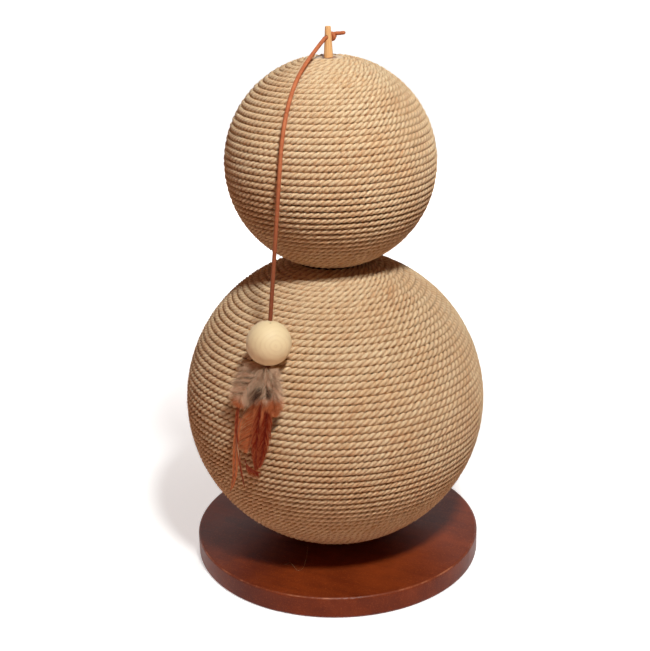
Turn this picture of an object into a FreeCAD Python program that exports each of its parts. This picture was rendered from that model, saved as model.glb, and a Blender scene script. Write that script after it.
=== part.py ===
"""Sisal ball cat scratcher: two rope-wound balls on a round board, with a bead and feathers on a cord.

Millimetres, +Z up. The origin is the centre of the board's underside. The toy hangs on the -Y side.
"""
import FreeCAD, Part

import math
import os

from FreeCAD import Placement, Rotation, Vector

# Board
BASE_DIAMETER = 195.0
BASE_THICKNESS = 15.0
BASE_EDGE_RADIUS = 1.6
BASE_WEB = 3.5

# Balls, measured over the rope
BIG_DIAMETER = 200.0
SMALL_DIAMETER = 135.0
BIG_FLAT = 3.0
SMALL_FLAT = 4.5

# Rope windings: the pitch is the spacing of the rows along the ball
BIG_ROPE_PITCH = 4.45
SMALL_ROPE_PITCH = 3.99
ROPE_GAP = 0.55
ROPE_BED = 0.3
TOP_OPENING_RADIUS = 7.5
BIG_BANDS = ("big_rope_lower", "big_rope_middle", "big_rope_upper")
SMALL_BANDS = ("small_rope_lower", "small_rope_upper")

# Hollow cores
CORE_WALL = 8.0
CORE_LIP = 6.0
HUB_RADIUS = 18.0
HUB_LENGTH = 22.0
CORE_ROOF = 10.0

# Post, screw and washer
POST_DIAMETER = 16.0
POST_CHAMFER = 1.0
SCREW_DIAMETER = 4.0
SCREW_LENGTH = 40.0
SCREW_TIP = 3.0
SCREW_HEAD_DIAMETER = 8.5
SCREW_HEAD_HEIGHT = 3.0
SCREW_HEAD_CHAMFER = 0.8
WASHER_DIAMETER = 18.0
WASHER_THICKNESS = 1.5
RECESS_DEPTH = 5.5
RECESS_CLEARANCE = 1.0
SCREW_CLEARANCE = 0.25
PILOT_SPARE = 2.0

# Peg and the glue round its foot
PEG_DIAMETER = 5.6
PEG_TOP_DIAMETER = 3.6
PEG_HEIGHT = 16.5
PEG_SOCKET = 12.0
PEG_CHAMFER = 0.3
CORD_HOLE_HEIGHT = 10.0
CORD_HOLE_CLEARANCE = 0.15
CORD_HOLE_TURN = 13.0
COLLAR_RADIUS = 5.6
COLLAR_HEIGHT = 1.6
COLLAR_SWELL = 0.25

# Cord, knots and bead
CORD_DIAMETER = 2.5
ELBOW_OUT = 5.0
PEG_SWING_CLEARANCE = 0.5
BEND_SHARE = 0.45
HANG_LENGTH = 107.0
TAIL_LENGTH = 6.2
TAIL_RISE = 14.0
PEG_KNOT_RADIUS = 3.0
BEAD_KNOT_RADIUS = 3.0
BEAD_DIAMETER = 27.2
BEAD_BORE_CLEARANCE = 0.3

# Feathers: length, width, fan to the side in degrees (negative towards -X), from the ball outwards
FEATHERS = {
    "feather_long_left": (74.0, 9.0, -12.0),
    "feather_long_middle": (60.0, 11.0, -1.0),
    "feather_broad_left": (52.0, 15.0, -11.0),
    "feather_short_right": (54.0, 9.0, 4.0),
    "feather_down_left": (26.0, 17.0, -36.0),
    "feather_down_right": (26.0, 15.0, 26.0),
    "feather_down_middle": (25.0, 16.0, -8.0),
}
FEATHER_THICKNESS = 0.65
QUILL_WIDTH = 1.2
QUILL_LENGTH = 3.0
VANE_WIDEST = 0.42

# Clearances: wood to wood or foam, and soft pieces to what they lie on
FIT = 0.1
SOFT_CLEARANCE = 0.3

# Sizes and places that follow from these
BASE_RADIUS = BASE_DIAMETER / 2
BIG_RADIUS = BIG_DIAMETER / 2
SMALL_RADIUS = SMALL_DIAMETER / 2
BIG_ROPE = BIG_ROPE_PITCH - ROPE_GAP
SMALL_ROPE = SMALL_ROPE_PITCH - ROPE_GAP
BIG_CORE = BIG_RADIUS - BIG_ROPE - ROPE_BED
SMALL_CORE = SMALL_RADIUS - SMALL_ROPE - ROPE_BED
BIG_SEAT = BIG_RADIUS - BIG_FLAT
SMALL_SEAT = SMALL_RADIUS - SMALL_FLAT
BIG_Z = BASE_THICKNESS + BIG_SEAT
SMALL_Z = BIG_Z + BIG_SEAT + SMALL_SEAT
SMALL_TOP_Z = SMALL_Z + SMALL_RADIUS
POST_RADIUS = POST_DIAMETER / 2
POST_BOTTOM_Z = RECESS_DEPTH + BASE_WEB
POST_TOP_Z = SMALL_Z + SMALL_CORE - CORE_ROOF
SCREW_RADIUS = SCREW_DIAMETER / 2
WASHER_RADIUS = WASHER_DIAMETER / 2
SCREW_SEAT_Z = RECESS_DEPTH - WASHER_THICKNESS
SCREW_TIP_Z = SCREW_SEAT_Z + SCREW_LENGTH
PEG_RADIUS = PEG_DIAMETER / 2
PEG_BOTTOM_Z = POST_TOP_Z - PEG_SOCKET
PEG_TOP_Z = SMALL_TOP_Z + PEG_HEIGHT
CORD_RADIUS = CORD_DIAMETER / 2
CORD_HOLE_Z = SMALL_TOP_Z + CORD_HOLE_HEIGHT
PEG_TAPER = (PEG_DIAMETER - PEG_TOP_DIAMETER) / 2 / PEG_HEIGHT
PEG_HOLE_RADIUS = PEG_RADIUS - PEG_TAPER * CORD_HOLE_HEIGHT
PEG_KNOT_OUT = PEG_HOLE_RADIUS + PEG_TAPER * PEG_KNOT_RADIUS + CORD_RADIUS + FIT
BEAD_RADIUS = BEAD_DIAMETER / 2
BEAD_BORE = CORD_RADIUS + BEAD_BORE_CLEARANCE

AXIS = Vector(0, 0, 1)
ORIGIN = Vector(0, 0, 0)

# The cord meets the small ball, lies round it and leaves it for the bead, which leans on the big ball.
# Angles are in radians above the horizontal, seen from the small ball's centre.
LIE = SMALL_RADIUS + SOFT_CLEARANCE + CORD_RADIUS
ELBOW_RISE = CORD_HOLE_Z - SMALL_Z
MEET_ANGLE = math.atan2(ELBOW_RISE, ELBOW_OUT) - math.acos(LIE / math.hypot(ELBOW_OUT, ELBOW_RISE))
BEAD_REACH = math.hypot(LIE, HANG_LENGTH)
BEAD_STAND = BIG_RADIUS + BEAD_RADIUS + SOFT_CLEARANCE
BALL_STEP = SMALL_Z - BIG_Z
BEAD_RISE = (BEAD_STAND ** 2 - BEAD_REACH ** 2 + BALL_STEP ** 2) / (2 * BALL_STEP)
BEAD_OUT = math.sqrt(BEAD_STAND ** 2 - BEAD_RISE ** 2)
LEAVE_ANGLE = math.atan2(BEAD_RISE - BALL_STEP, BEAD_OUT) + math.acos(LIE / BEAD_REACH)
BEAD_END = math.sqrt(BEAD_RADIUS ** 2 - BEAD_BORE ** 2)
KNOT_BELOW = BEAD_END + math.sqrt(BEAD_KNOT_RADIUS ** 2 - BEAD_BORE ** 2) + FIT

# The feathers lie in layers, tilted so that the innermost one just clears the big ball
LAYER = FEATHER_THICKNESS + SOFT_CLEARANCE
INNERMOST = (len(FEATHERS) - 1) / 2 * LAYER + FEATHER_THICKNESS / 2
KNOT_OUT = BEAD_OUT + KNOT_BELOW * math.sin(LEAVE_ANGLE)
KNOT_RISE = BEAD_RISE - KNOT_BELOW * math.cos(LEAVE_ANGLE)
FEATHER_CLEAR = BIG_RADIUS + SOFT_CLEARANCE + INNERMOST
FEATHER_ANGLE = math.atan2(KNOT_RISE, KNOT_OUT) - math.acos(FEATHER_CLEAR / math.hypot(KNOT_OUT, KNOT_RISE))


def ring(radius, z):
    """Return the point of a turned profile at this radius and height."""
    return Vector(radius, 0, z)


def on_sphere(sphere, radius):
    """Return how far above its centre a sphere reaches at this distance from its axis."""
    return math.sqrt(sphere ** 2 - radius ** 2)


def sphere_arc(sphere, start, end):
    """Return the middle and end of a profile's arc round the origin, from one point to another."""
    middle = start + end
    middle.normalize()
    return (middle * sphere, end)


def quarter(start, end, corner):
    """Return the middle and end of a profile's quarter round, given the corner that it rounds off."""
    centre = start + end - corner
    radius = (start - centre).Length
    outward = corner - centre
    outward.normalize()
    return (centre + outward * radius, end)


def face(steps):
    """Return the face inside a closed outline: a point adds a line, a (middle, end) pair adds an arc."""
    place = steps[0]
    edges = []
    for step in steps[1:] + steps[:1]:
        if isinstance(step, tuple):
            edges.append(Part.Arc(place, *step).toShape())
            place = step[1]
        else:
            edges.append(Part.LineSegment(place, step).toShape())
            place = step
    return Part.Face(Part.Wire(edges))


def turned(steps, z=0.0):
    """Return the solid turned about +Z from an outline of ring points, lifted to a height."""
    solid = face(steps).revolve(ORIGIN, AXIS, 360)
    solid.translate(AXIS * z)
    return solid


def rod(radius, start, end):
    """Return a round rod from one point to another."""
    along = end - start
    return Part.makeCylinder(radius, along.Length, start, along)


def base_board():
    """Return the board, with its socket for the post and its recess for the washer."""
    edge = BASE_EDGE_RADIUS
    rim = BASE_RADIUS
    top = BASE_THICKNESS
    recess = WASHER_RADIUS + RECESS_CLEARANCE
    hole = SCREW_RADIUS + SCREW_CLEARANCE
    socket = POST_RADIUS + FIT
    return turned([
        ring(recess, 0),
        ring(rim - edge, 0),
        quarter(ring(rim - edge, 0), ring(rim, edge), ring(rim, 0)),
        ring(rim, top - edge),
        quarter(ring(rim, top - edge), ring(rim - edge, top), ring(rim, top)),
        ring(socket, top),
        ring(socket, POST_BOTTOM_Z),
        ring(hole, POST_BOTTOM_Z),
        ring(hole, RECESS_DEPTH),
        ring(recess, RECESS_DEPTH),
    ])


def center_post():
    """Return the dowel that carries both balls, bored for the screw below and the peg above."""
    pilot = SCREW_RADIUS + FIT
    socket = PEG_RADIUS + FIT
    return turned([
        ring(pilot, POST_BOTTOM_Z),
        ring(POST_RADIUS - POST_CHAMFER, POST_BOTTOM_Z),
        ring(POST_RADIUS, POST_BOTTOM_Z + POST_CHAMFER),
        ring(POST_RADIUS, POST_TOP_Z - POST_CHAMFER),
        ring(POST_RADIUS - POST_CHAMFER, POST_TOP_Z),
        ring(socket, POST_TOP_Z),
        ring(socket, PEG_BOTTOM_Z),
        ring(0, PEG_BOTTOM_Z),
        ring(0, SCREW_TIP_Z + PILOT_SPARE),
        ring(pilot, SCREW_TIP_Z + PILOT_SPARE),
    ])


def base_screw():
    """Return the wood screw: a head under the washer and a plain shank up into the post."""
    head = SCREW_HEAD_DIAMETER / 2
    low = SCREW_SEAT_Z - SCREW_HEAD_HEIGHT
    return turned([
        ring(0, low),
        ring(head - SCREW_HEAD_CHAMFER, low),
        ring(head, low + SCREW_HEAD_CHAMFER),
        ring(head, SCREW_SEAT_Z),
        ring(SCREW_RADIUS, SCREW_SEAT_Z),
        ring(SCREW_RADIUS, SCREW_TIP_Z - SCREW_TIP),
        ring(0, SCREW_TIP_Z),
    ])


def screw_washer():
    """Return the washer in the board's recess."""
    hole = SCREW_RADIUS + SCREW_CLEARANCE
    return turned([
        ring(hole, SCREW_SEAT_Z),
        ring(WASHER_RADIUS, SCREW_SEAT_Z),
        ring(WASHER_RADIUS, RECESS_DEPTH),
        ring(hole, RECESS_DEPTH),
    ])


def core_half(sphere, seat, tongue):
    """Return a hollow half ball, pole down, with a hub for the post and a flat seat on its pole.

    Its rim has the tongue of the lip joint, or else the groove that takes the tongue.
    """
    inner = sphere - CORE_WALL
    middle = sphere - CORE_WALL / 2
    bore = POST_RADIUS + FIT
    hub_top = HUB_LENGTH - seat
    shoulder = ring(HUB_RADIUS, -on_sphere(sphere, HUB_RADIUS))
    inner_shoulder = ring(HUB_RADIUS, -on_sphere(inner, HUB_RADIUS))
    if tongue:
        rim_end = ring(inner, 0)
        rim = [ring(middle, 0), ring(middle, CORE_LIP), ring(inner, CORE_LIP), rim_end]
    else:
        groove = -CORE_LIP - FIT
        rim_end = ring(on_sphere(inner, groove), groove)
        rim = [ring(middle + FIT, 0), ring(middle + FIT, groove), rim_end]
    return turned([
        ring(bore, -seat),
        ring(HUB_RADIUS, -seat),
        shoulder,
        sphere_arc(sphere, shoulder, ring(sphere, 0)),
        *rim,
        sphere_arc(inner, rim_end, inner_shoulder),
        ring(HUB_RADIUS, hub_top),
        ring(bore, hub_top),
    ])


def flipped(solid):
    """Return a solid turned upside down about the origin."""
    return solid.mirror(ORIGIN, AXIS)


def placed(solid, z):
    """Return a solid lifted to a height."""
    solid.translate(AXIS * z)
    return solid


def small_core_crown():
    """Return the upper half of the small core: its hub caps the post, and the peg goes through its roof."""
    sphere = SMALL_CORE
    inner = sphere - CORE_WALL
    middle = sphere - CORE_WALL / 2
    bore = POST_RADIUS + FIT
    hole = PEG_RADIUS + FIT
    roof = sphere - CORE_ROOF
    groove = CORE_LIP + FIT
    rim_end = ring(on_sphere(inner, groove), groove)
    hub_shoulder = ring(HUB_RADIUS, on_sphere(inner, HUB_RADIUS))
    top = ring(hole, on_sphere(sphere, hole))
    return turned([
        ring(hole, roof),
        ring(bore, roof),
        ring(bore, roof - HUB_LENGTH),
        ring(HUB_RADIUS, roof - HUB_LENGTH),
        hub_shoulder,
        sphere_arc(inner, hub_shoulder, rim_end),
        ring(middle + FIT, groove),
        ring(middle + FIT, 0),
        ring(sphere, 0),
        sphere_arc(sphere, ring(sphere, 0), top),
    ], SMALL_Z)


class Winding:
    """One layer of rope laid round a ball as a level spiral that climbs one pitch a turn."""

    STATIONS = 4
    SAMPLES = 7
    EASE = 3.0
    SMALL_TURN = 1e-4

    def __init__(self, ball_radius, rope, pitch, centre_z, low, high):
        """Take the ball, the rope's diameter and pitch, and the latitudes (radians) of both ends."""
        self.radius = ball_radius - rope / 2
        self.rope = rope
        self.centre_z = centre_z
        self.step = pitch / self.radius
        self.tucks = [rope ** 2 / (self.radius * math.cos(end)) for end in (low, high)]
        self.low = low + self.tucks[0] / self.radius
        self.turns = (high - self.tucks[1] / self.radius - self.low) / self.step

    def latitude(self, turn):
        """Return how far up the ball the rope is after so many turns, in radians."""
        return self.low + self.step * turn

    def point(self, turn, tuck=0.0):
        """Return the rope's centre after so many turns, drawn up the ball by a tuck."""
        latitude = self.latitude(turn) + tuck / self.radius
        angle = 2 * math.pi * turn
        out = self.radius * math.cos(latitude)
        height = self.radius * math.sin(latitude)
        return Vector(out * math.cos(angle), out * math.sin(angle), self.centre_z + height)

    def tangent(self, turn):
        """Return the rope's direction after so many turns."""
        along = self.point(turn + self.SMALL_TURN) - self.point(turn - self.SMALL_TURN)
        along.normalize()
        return along

    def ease(self, turn):
        """Return the part of a turn in which a straight end bends back on to the spiral."""
        return self.EASE * self.rope / (2 * math.pi * self.radius * math.cos(self.latitude(turn)))

    def path(self, first, last, tuck_first, tuck_last):
        """Return the edges of a band: biarcs of about a quarter turn between two straight ends."""
        ahead = self.tangent(first)
        behind = self.tangent(last)
        start = self.point(first, tuck_first)
        end = self.point(last, tuck_last)
        low = first + self.ease(first)
        high = last - self.ease(last)
        count = math.ceil((high - low) * self.STATIONS)
        stops = [(start + ahead * self.rope, ahead)]
        for index in range(count + 1):
            turn = low + (high - low) * index / count
            stops.append((self.point(turn), self.tangent(turn)))
        stops.append((end - behind * self.rope, behind))
        edges = [Part.LineSegment(start, stops[0][0]).toShape()]
        for (here, heading), (there, arriving) in zip(stops, stops[1:]):
            edges += biarc(here, heading, there, arriving)
        edges.append(Part.LineSegment(stops[-1][0], end).toShape())
        return edges

    def band(self, name, first, last, tuck_first, tuck_last):
        """Return one unbroken length of the rope, and print its least gap to itself."""
        edges = self.path(first, last, tuck_first, tuck_last)
        spine = Part.Wire(edges)
        pipe = Part.BRepOffsetAPI.MakePipeShell(spine)
        start = self.point(first, tuck_first)
        pipe.add(Part.Wire(Part.Circle(start, self.tangent(first), self.rope / 2).toShape()))
        pipe.build()
        pipe.makeSolid()
        solid = pipe.shape()
        gap = self.least_gap(edges)
        share = solid.Volume / (math.pi * self.rope ** 2 / 4 * spine.Length)
        print(f"{name}: {last - first:.2f} turns, {spine.Length / 1000:.2f} m of rope, "
              f"least gap to itself {gap:.2f} mm, volume over section times length {share:.4f}")
        return solid

    def least_gap(self, edges):
        """Return the least space between neighbouring turns, from points on the path to its chords."""
        points = []
        for edge in edges:
            points += edge.discretize(Number=self.SAMPLES)[:-1]
        turn = 2 * self.STATIONS * (self.SAMPLES - 1)
        least = math.inf
        for index, place in enumerate(points):
            rows = points[index + turn // 2:index + turn * 3 // 2]
            for here, there in zip(rows, rows[1:]):
                least = min(least, place.distanceToLineSegment(here, there).Length)
        return least - self.rope


def biarc(start, heading, end, arriving):
    """Return the two arcs that leave one point and reach another in the given directions."""
    chord = end - start
    turn = 2 * (1 - heading.dot(arriving))
    reach = chord.dot(heading + arriving)
    size = (math.sqrt(reach ** 2 + turn * chord.dot(chord)) - reach) / turn
    before = start + heading * size
    after = end - arriving * size
    joint = (before + after) * 0.5
    onward = after - before
    onward.normalize()
    return [tangent_arc(start, heading, joint), tangent_arc(joint, onward, end)]


def tangent_arc(start, heading, end):
    """Return the arc that leaves a point in a direction and ends at another point."""
    chord = end - start
    inward = heading.cross(chord).cross(heading)
    inward.normalize()
    radius = chord.dot(chord) / (2 * chord.dot(inward))
    centre = start + inward * radius
    outward = (start + end) * 0.5 - centre
    outward.normalize()
    return Part.Arc(start, centre + outward * radius, end).toShape()


def seat_latitude(winding_radius, seat, rope):
    """Return the latitude of the row that just clears the flat on which a ball stands."""
    return math.asin((seat - rope / 2 - FIT) / winding_radius)


def rope_bands(names, winding):
    """Return a winding's bands by name, cut at equal shares of its turns, its two ends tucked in."""
    share = winding.turns / len(names)
    tucks = [-winding.tucks[0]] + [0.0] * (len(names) - 1) + [winding.tucks[1]]
    bands = {}
    for index, name in enumerate(names):
        bands[name] = winding.band(name, share * index, share * (index + 1), *tucks[index:index + 2])
    return bands


def ropes():
    """Return the bands of both balls' windings."""
    big_edge = seat_latitude(BIG_RADIUS - BIG_ROPE / 2, BIG_SEAT, BIG_ROPE)
    small_middle = SMALL_RADIUS - SMALL_ROPE / 2
    small_low = -seat_latitude(small_middle, SMALL_SEAT, SMALL_ROPE)
    small_high = math.acos((TOP_OPENING_RADIUS + SMALL_ROPE / 2) / small_middle)
    big = Winding(BIG_RADIUS, BIG_ROPE, BIG_ROPE_PITCH, BIG_Z, -big_edge, big_edge)
    small = Winding(SMALL_RADIUS, SMALL_ROPE, SMALL_ROPE_PITCH, SMALL_Z, small_low, small_high)
    return {**rope_bands(BIG_BANDS, big), **rope_bands(SMALL_BANDS, small)}


def peg():
    """Return the tapered peg: a plain shank down into the post, and a cross hole for the cord."""
    tip = PEG_TOP_DIAMETER / 2
    solid = turned([
        ring(0, PEG_BOTTOM_Z),
        ring(PEG_RADIUS, PEG_BOTTOM_Z),
        ring(PEG_RADIUS, SMALL_TOP_Z),
        ring(tip, PEG_TOP_Z - PEG_CHAMFER),
        ring(tip - PEG_CHAMFER, PEG_TOP_Z),
        ring(0, PEG_TOP_Z),
    ])
    return solid.cut(rod(CORD_RADIUS + CORD_HOLE_CLEARANCE, cross(-PEG_DIAMETER), cross(PEG_DIAMETER)))


def glue_collar():
    """Return the ring of glue round the peg's foot, in the rope's top opening."""
    bed = SMALL_CORE + FIT
    inner = PEG_RADIUS + FIT
    low = ring(inner, on_sphere(bed, inner))
    brim = ring(COLLAR_RADIUS, on_sphere(bed, COLLAR_RADIUS))
    top = low + ring(0, COLLAR_HEIGHT)
    swell = (brim + top) * 0.5 + ring(COLLAR_HEIGHT, COLLAR_HEIGHT) * COLLAR_SWELL
    return turned([low, sphere_arc(bed, low, brim), (swell, top)], SMALL_Z)


def cross(distance):
    """Return a point on the axis of the peg's cross hole; positive distances are on the toy's side."""
    turn = math.radians(CORD_HOLE_TURN)
    return Vector(-distance * math.sin(turn), -distance * math.cos(turn), CORD_HOLE_Z)


def hanging(out, z):
    """Return a point of the upright plane in which the toy hangs."""
    return Vector(0, -out, z)


def slope(angle):
    """Return the direction in the toy's plane that is square to a radius at this angle, downwards."""
    return hanging(math.sin(angle), -math.cos(angle))


def on_small_ball(angle):
    """Return the cord's centre where it lies on the small ball at this angle."""
    return hanging(LIE * math.cos(angle), SMALL_Z + LIE * math.sin(angle))


def aimed(solid, place, along):
    """Return a solid made along +Z from the origin, moved to a place and aimed along a direction."""
    solid.Placement = Placement(place, Rotation(AXIS, along))
    return solid


def peg_knot():
    """Return the stopper knot behind the peg, a round-rimmed wrap of the cord."""
    flat = PEG_KNOT_RADIUS - CORD_RADIUS
    solid = turned([
        ring(0, -CORD_RADIUS),
        ring(flat, -CORD_RADIUS),
        (ring(PEG_KNOT_RADIUS, 0), ring(flat, CORD_RADIUS)),
        ring(0, CORD_RADIUS),
    ])
    return aimed(solid, cross(-PEG_KNOT_OUT), cross(1) - cross(0))


def cord_tail():
    """Return the cut end of the cord, which stands out sideways from the knot."""
    rise = math.radians(TAIL_RISE)
    along = Vector(math.cos(rise), 0, math.sin(rise))
    start = cross(-PEG_KNOT_OUT) + along * (PEG_KNOT_RADIUS + FIT)
    return rod(CORD_RADIUS, start, start + along * TAIL_LENGTH)


def cord_in_peg():
    """Return the cord in the cross hole, from the knot to where its edge would leave the peg."""
    return rod(CORD_RADIUS, cross(CORD_RADIUS - PEG_KNOT_OUT), cross(on_sphere(PEG_HOLE_RADIUS, CORD_RADIUS)))


def bend(before, corner, after):
    """Return the edges of a run, and of the largest fair bend at a corner, and where the bend ends."""
    incoming = corner - before
    outgoing = after - corner
    shorter = BEND_SHARE * min(incoming.Length, outgoing.Length)
    incoming.normalize()
    outgoing.normalize()
    radius = shorter / math.tan(incoming.getAngle(outgoing) / 2)
    print(f"cord bend: radius {radius:.2f} mm")
    start = corner - incoming * shorter
    end = corner + outgoing * shorter
    return [Part.LineSegment(before, start).toShape(), tangent_arc(start, incoming, end)], end


def cord_lead():
    """Return the cord from the peg's hole, down to the small ball and round it to where it hangs free."""
    mouth = cross(PEG_HOLE_RADIUS + PEG_SWING_CLEARANCE)
    meet = on_small_ball(MEET_ANGLE)
    last = LEAVE_ANGLE + (CORD_RADIUS + SOFT_CLEARANCE) / LIE
    edges, place = bend(mouth, hanging(ELBOW_OUT, CORD_HOLE_Z), meet)
    edges.append(Part.LineSegment(place, meet).toShape())
    middle = on_small_ball((MEET_ANGLE + last) / 2)
    edges.append(Part.Arc(meet, middle, on_small_ball(last)).toShape())
    spine = Part.Wire(edges)
    pipe = Part.BRepOffsetAPI.MakePipeShell(spine)
    pipe.add(Part.Wire(Part.Circle(mouth, edges[0].tangentAt(0), CORD_RADIUS).toShape()))
    pipe.build()
    pipe.makeSolid()
    solid = pipe.shape()
    share = solid.Volume / (math.pi * CORD_RADIUS ** 2 * spine.Length)
    print(f"cord_lead: {spine.Length:.1f} mm, radius on the ball {LIE:.2f} mm, "
          f"volume over section times length {share:.4f}")
    return solid


def cord_drop():
    """Return the cord that hangs from the small ball, round-ended at its pivot, down to the bead's knot."""
    length = HANG_LENGTH + KNOT_BELOW - BEAD_KNOT_RADIUS - FIT
    pole = ring(0, -CORD_RADIUS)
    side = ring(CORD_RADIUS, 0)
    solid = turned([
        pole,
        quarter(pole, side, ring(CORD_RADIUS, -CORD_RADIUS)),
        ring(CORD_RADIUS, length),
        ring(0, length),
    ])
    return aimed(solid, on_small_ball(LEAVE_ANGLE), slope(LEAVE_ANGLE))


def bead():
    """Return the turned bead, bored for the cord."""
    height = on_sphere(BEAD_RADIUS, BEAD_BORE)
    solid = turned([ring(BEAD_BORE, -height), (ring(BEAD_RADIUS, 0), ring(BEAD_BORE, height))])
    return aimed(solid, hanging(BEAD_OUT, BIG_Z + BEAD_RISE), slope(LEAVE_ANGLE))


def bead_knot():
    """Return the knot that carries the bead and holds the quills."""
    return Part.makeSphere(BEAD_KNOT_RADIUS, hanging(KNOT_OUT, BIG_Z + KNOT_RISE))


def feather(layer, length, width, fan):
    """Return one feather: a narrow quill at the knot and a vane that swells and then tapers to a tip."""
    level = (layer - (len(FEATHERS) - 1) / 2) * LAYER
    inner_face = max(abs(level) - FEATHER_THICKNESS / 2, 0.0)
    start = on_sphere(BEAD_KNOT_RADIUS, inner_face) + SOFT_CLEARANCE
    half = QUILL_WIDTH / 2
    low = level - FEATHER_THICKNESS / 2
    tip = Vector(0, start + length, low)
    widest = start + length * VANE_WIDEST
    vane = face([
        Vector(half, start, low),
        Vector(-half, start, low),
        Vector(-half, start + QUILL_LENGTH, low),
        (Vector(-width / 2, widest, low), tip),
        (Vector(width / 2, widest, low), Vector(half, start + QUILL_LENGTH, low)),
    ])
    solid = vane.extrude(AXIS * FEATHER_THICKNESS)
    solid.rotate(ORIGIN, AXIS, fan)
    outward = hanging(math.cos(FEATHER_ANGLE), math.sin(FEATHER_ANGLE))
    down = slope(FEATHER_ANGLE)
    frame = Rotation(down.cross(outward), down, outward, "ZYX")
    solid.Placement = Placement(hanging(KNOT_OUT, BIG_Z + KNOT_RISE), frame) * solid.Placement
    return solid


def feathers():
    """Return the feathers by name, each in its own layer from the ball outwards."""
    return {name: feather(layer, *sizes) for layer, (name, sizes) in enumerate(FEATHERS.items())}


def main():
    """Build every piece and write one file for each."""
    nodes = {
        "base_board": base_board(),
        "base_screw": base_screw(),
        "screw_washer": screw_washer(),
        "center_post": center_post(),
        "big_core_lower": placed(core_half(BIG_CORE, BIG_SEAT, True), BIG_Z),
        "big_core_upper": placed(flipped(core_half(BIG_CORE, BIG_SEAT, False)), BIG_Z),
        "small_core_lower": placed(core_half(SMALL_CORE, SMALL_SEAT, True), SMALL_Z),
        "small_core_upper": small_core_crown(),
        **ropes(),
        "peg": peg(),
        "glue_collar": glue_collar(),
        "peg_knot": peg_knot(),
        "cord_tail": cord_tail(),
        "cord_in_peg": cord_in_peg(),
        "cord_lead": cord_lead(),
        "cord_drop": cord_drop(),
        "bead": bead(),
        "bead_knot": bead_knot(),
        **feathers(),
    }
    os.makedirs("parts", exist_ok=True)
    for name, solid in nodes.items():
        solid.exportStep(f"parts/{name}.step")
        print(f"{name}: valid {solid.isValid()}, {len(solid.Solids)} solid, {solid.Volume / 1000:.2f} cm3")
    places = {
        "drop pivot": on_small_ball(LEAVE_ANGLE),
        "drop direction": slope(LEAVE_ANGLE),
        "bead centre": hanging(BEAD_OUT, BIG_Z + BEAD_RISE),
        "bead knot": hanging(KNOT_OUT, BIG_Z + KNOT_RISE),
    }
    for name, place in places.items():
        print(f"{name}: {place.x:.4f}, {place.y:.4f}, {place.z:.4f}")


main()
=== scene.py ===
"""Dresses the sisal ball cat scratcher: rope-wound balls on a board, with a bead and feathers on a lace.

Metres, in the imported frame. The camera and the light follow the photograph.
"""

import logging
import math
import random
from dataclasses import dataclass, field
from enum import Enum
from typing import Any, Callable, Dict, List, NamedTuple, Optional, Sequence, Tuple, Union

import bmesh
import bpy
from mathutils import Matrix, Vector, noise


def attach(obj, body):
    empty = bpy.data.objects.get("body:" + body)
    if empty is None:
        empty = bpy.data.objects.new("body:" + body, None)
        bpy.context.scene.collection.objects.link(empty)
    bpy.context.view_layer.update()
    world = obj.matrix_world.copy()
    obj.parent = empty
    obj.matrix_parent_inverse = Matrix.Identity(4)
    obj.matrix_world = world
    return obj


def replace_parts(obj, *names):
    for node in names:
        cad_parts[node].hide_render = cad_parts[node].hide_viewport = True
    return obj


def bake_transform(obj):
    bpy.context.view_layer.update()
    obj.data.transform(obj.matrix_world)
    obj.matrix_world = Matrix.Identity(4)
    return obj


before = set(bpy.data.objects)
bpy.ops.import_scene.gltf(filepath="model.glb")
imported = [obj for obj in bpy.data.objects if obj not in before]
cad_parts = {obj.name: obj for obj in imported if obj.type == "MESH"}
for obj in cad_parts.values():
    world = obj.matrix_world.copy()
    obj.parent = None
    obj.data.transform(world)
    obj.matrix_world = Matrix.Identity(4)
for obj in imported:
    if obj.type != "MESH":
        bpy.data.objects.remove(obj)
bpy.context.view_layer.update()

LOG = logging.getLogger("scratcher")
MM = 0.001
TURN = 2 * math.pi
UP = Vector((0.0, 0.0, 1.0))
RIGHT = Vector((1.0, 0.0, 0.0))
LAY_MAP = "lay"
LATHE_SEAM = 0.005 * MM
SWEEP_SEAM = 0.0001 * MM
BARB_PARTS = (0.0, 0.25, 0.5, 0.75, 1.0)
BEAD_KNOT = (0.0, -0.093351, 0.1660434)

Colour = Tuple[float, float, float, float]
Pair = Tuple[float, float]
Point = Tuple[float, float, float]
Input = Union["Socket", float, Sequence[float]]


# Shader maths


def shade(red: int, green: int, blue: int) -> Colour:
    """Turn a display colour into the linear colour that a shader takes.

    Args:
        red: Its red from 0 to 255, as a screen shows it.
        green: Its green.
        blue: Its blue.

    Returns:
        The linear colour with full alpha.
    """
    def channel(value: int) -> float:
        """Return one linear channel."""
        part = value / 255
        return part / 12.92 if part <= 0.04045 else ((part + 0.055) / 1.055) ** 2.4

    return (channel(red), channel(green), channel(blue), 1.0)


def math_method(operation: str, swapped: bool = False) -> Callable[..., "Socket"]:
    """Make a method of Socket that adds a Math node.

    Args:
        operation: The node's operation.
        swapped: Whether the other value comes first, as in 1 - mask.

    Returns:
        The method.
    """
    def method(self: "Socket", other: Input = 0.0) -> "Socket":
        """Return the operation's result."""
        sockets = dict(enumerate((other, self) if swapped else (self, other)))
        return self.graph.result(self.graph.node("ShaderNodeMath", {"operation": operation}, sockets))

    return method


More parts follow.
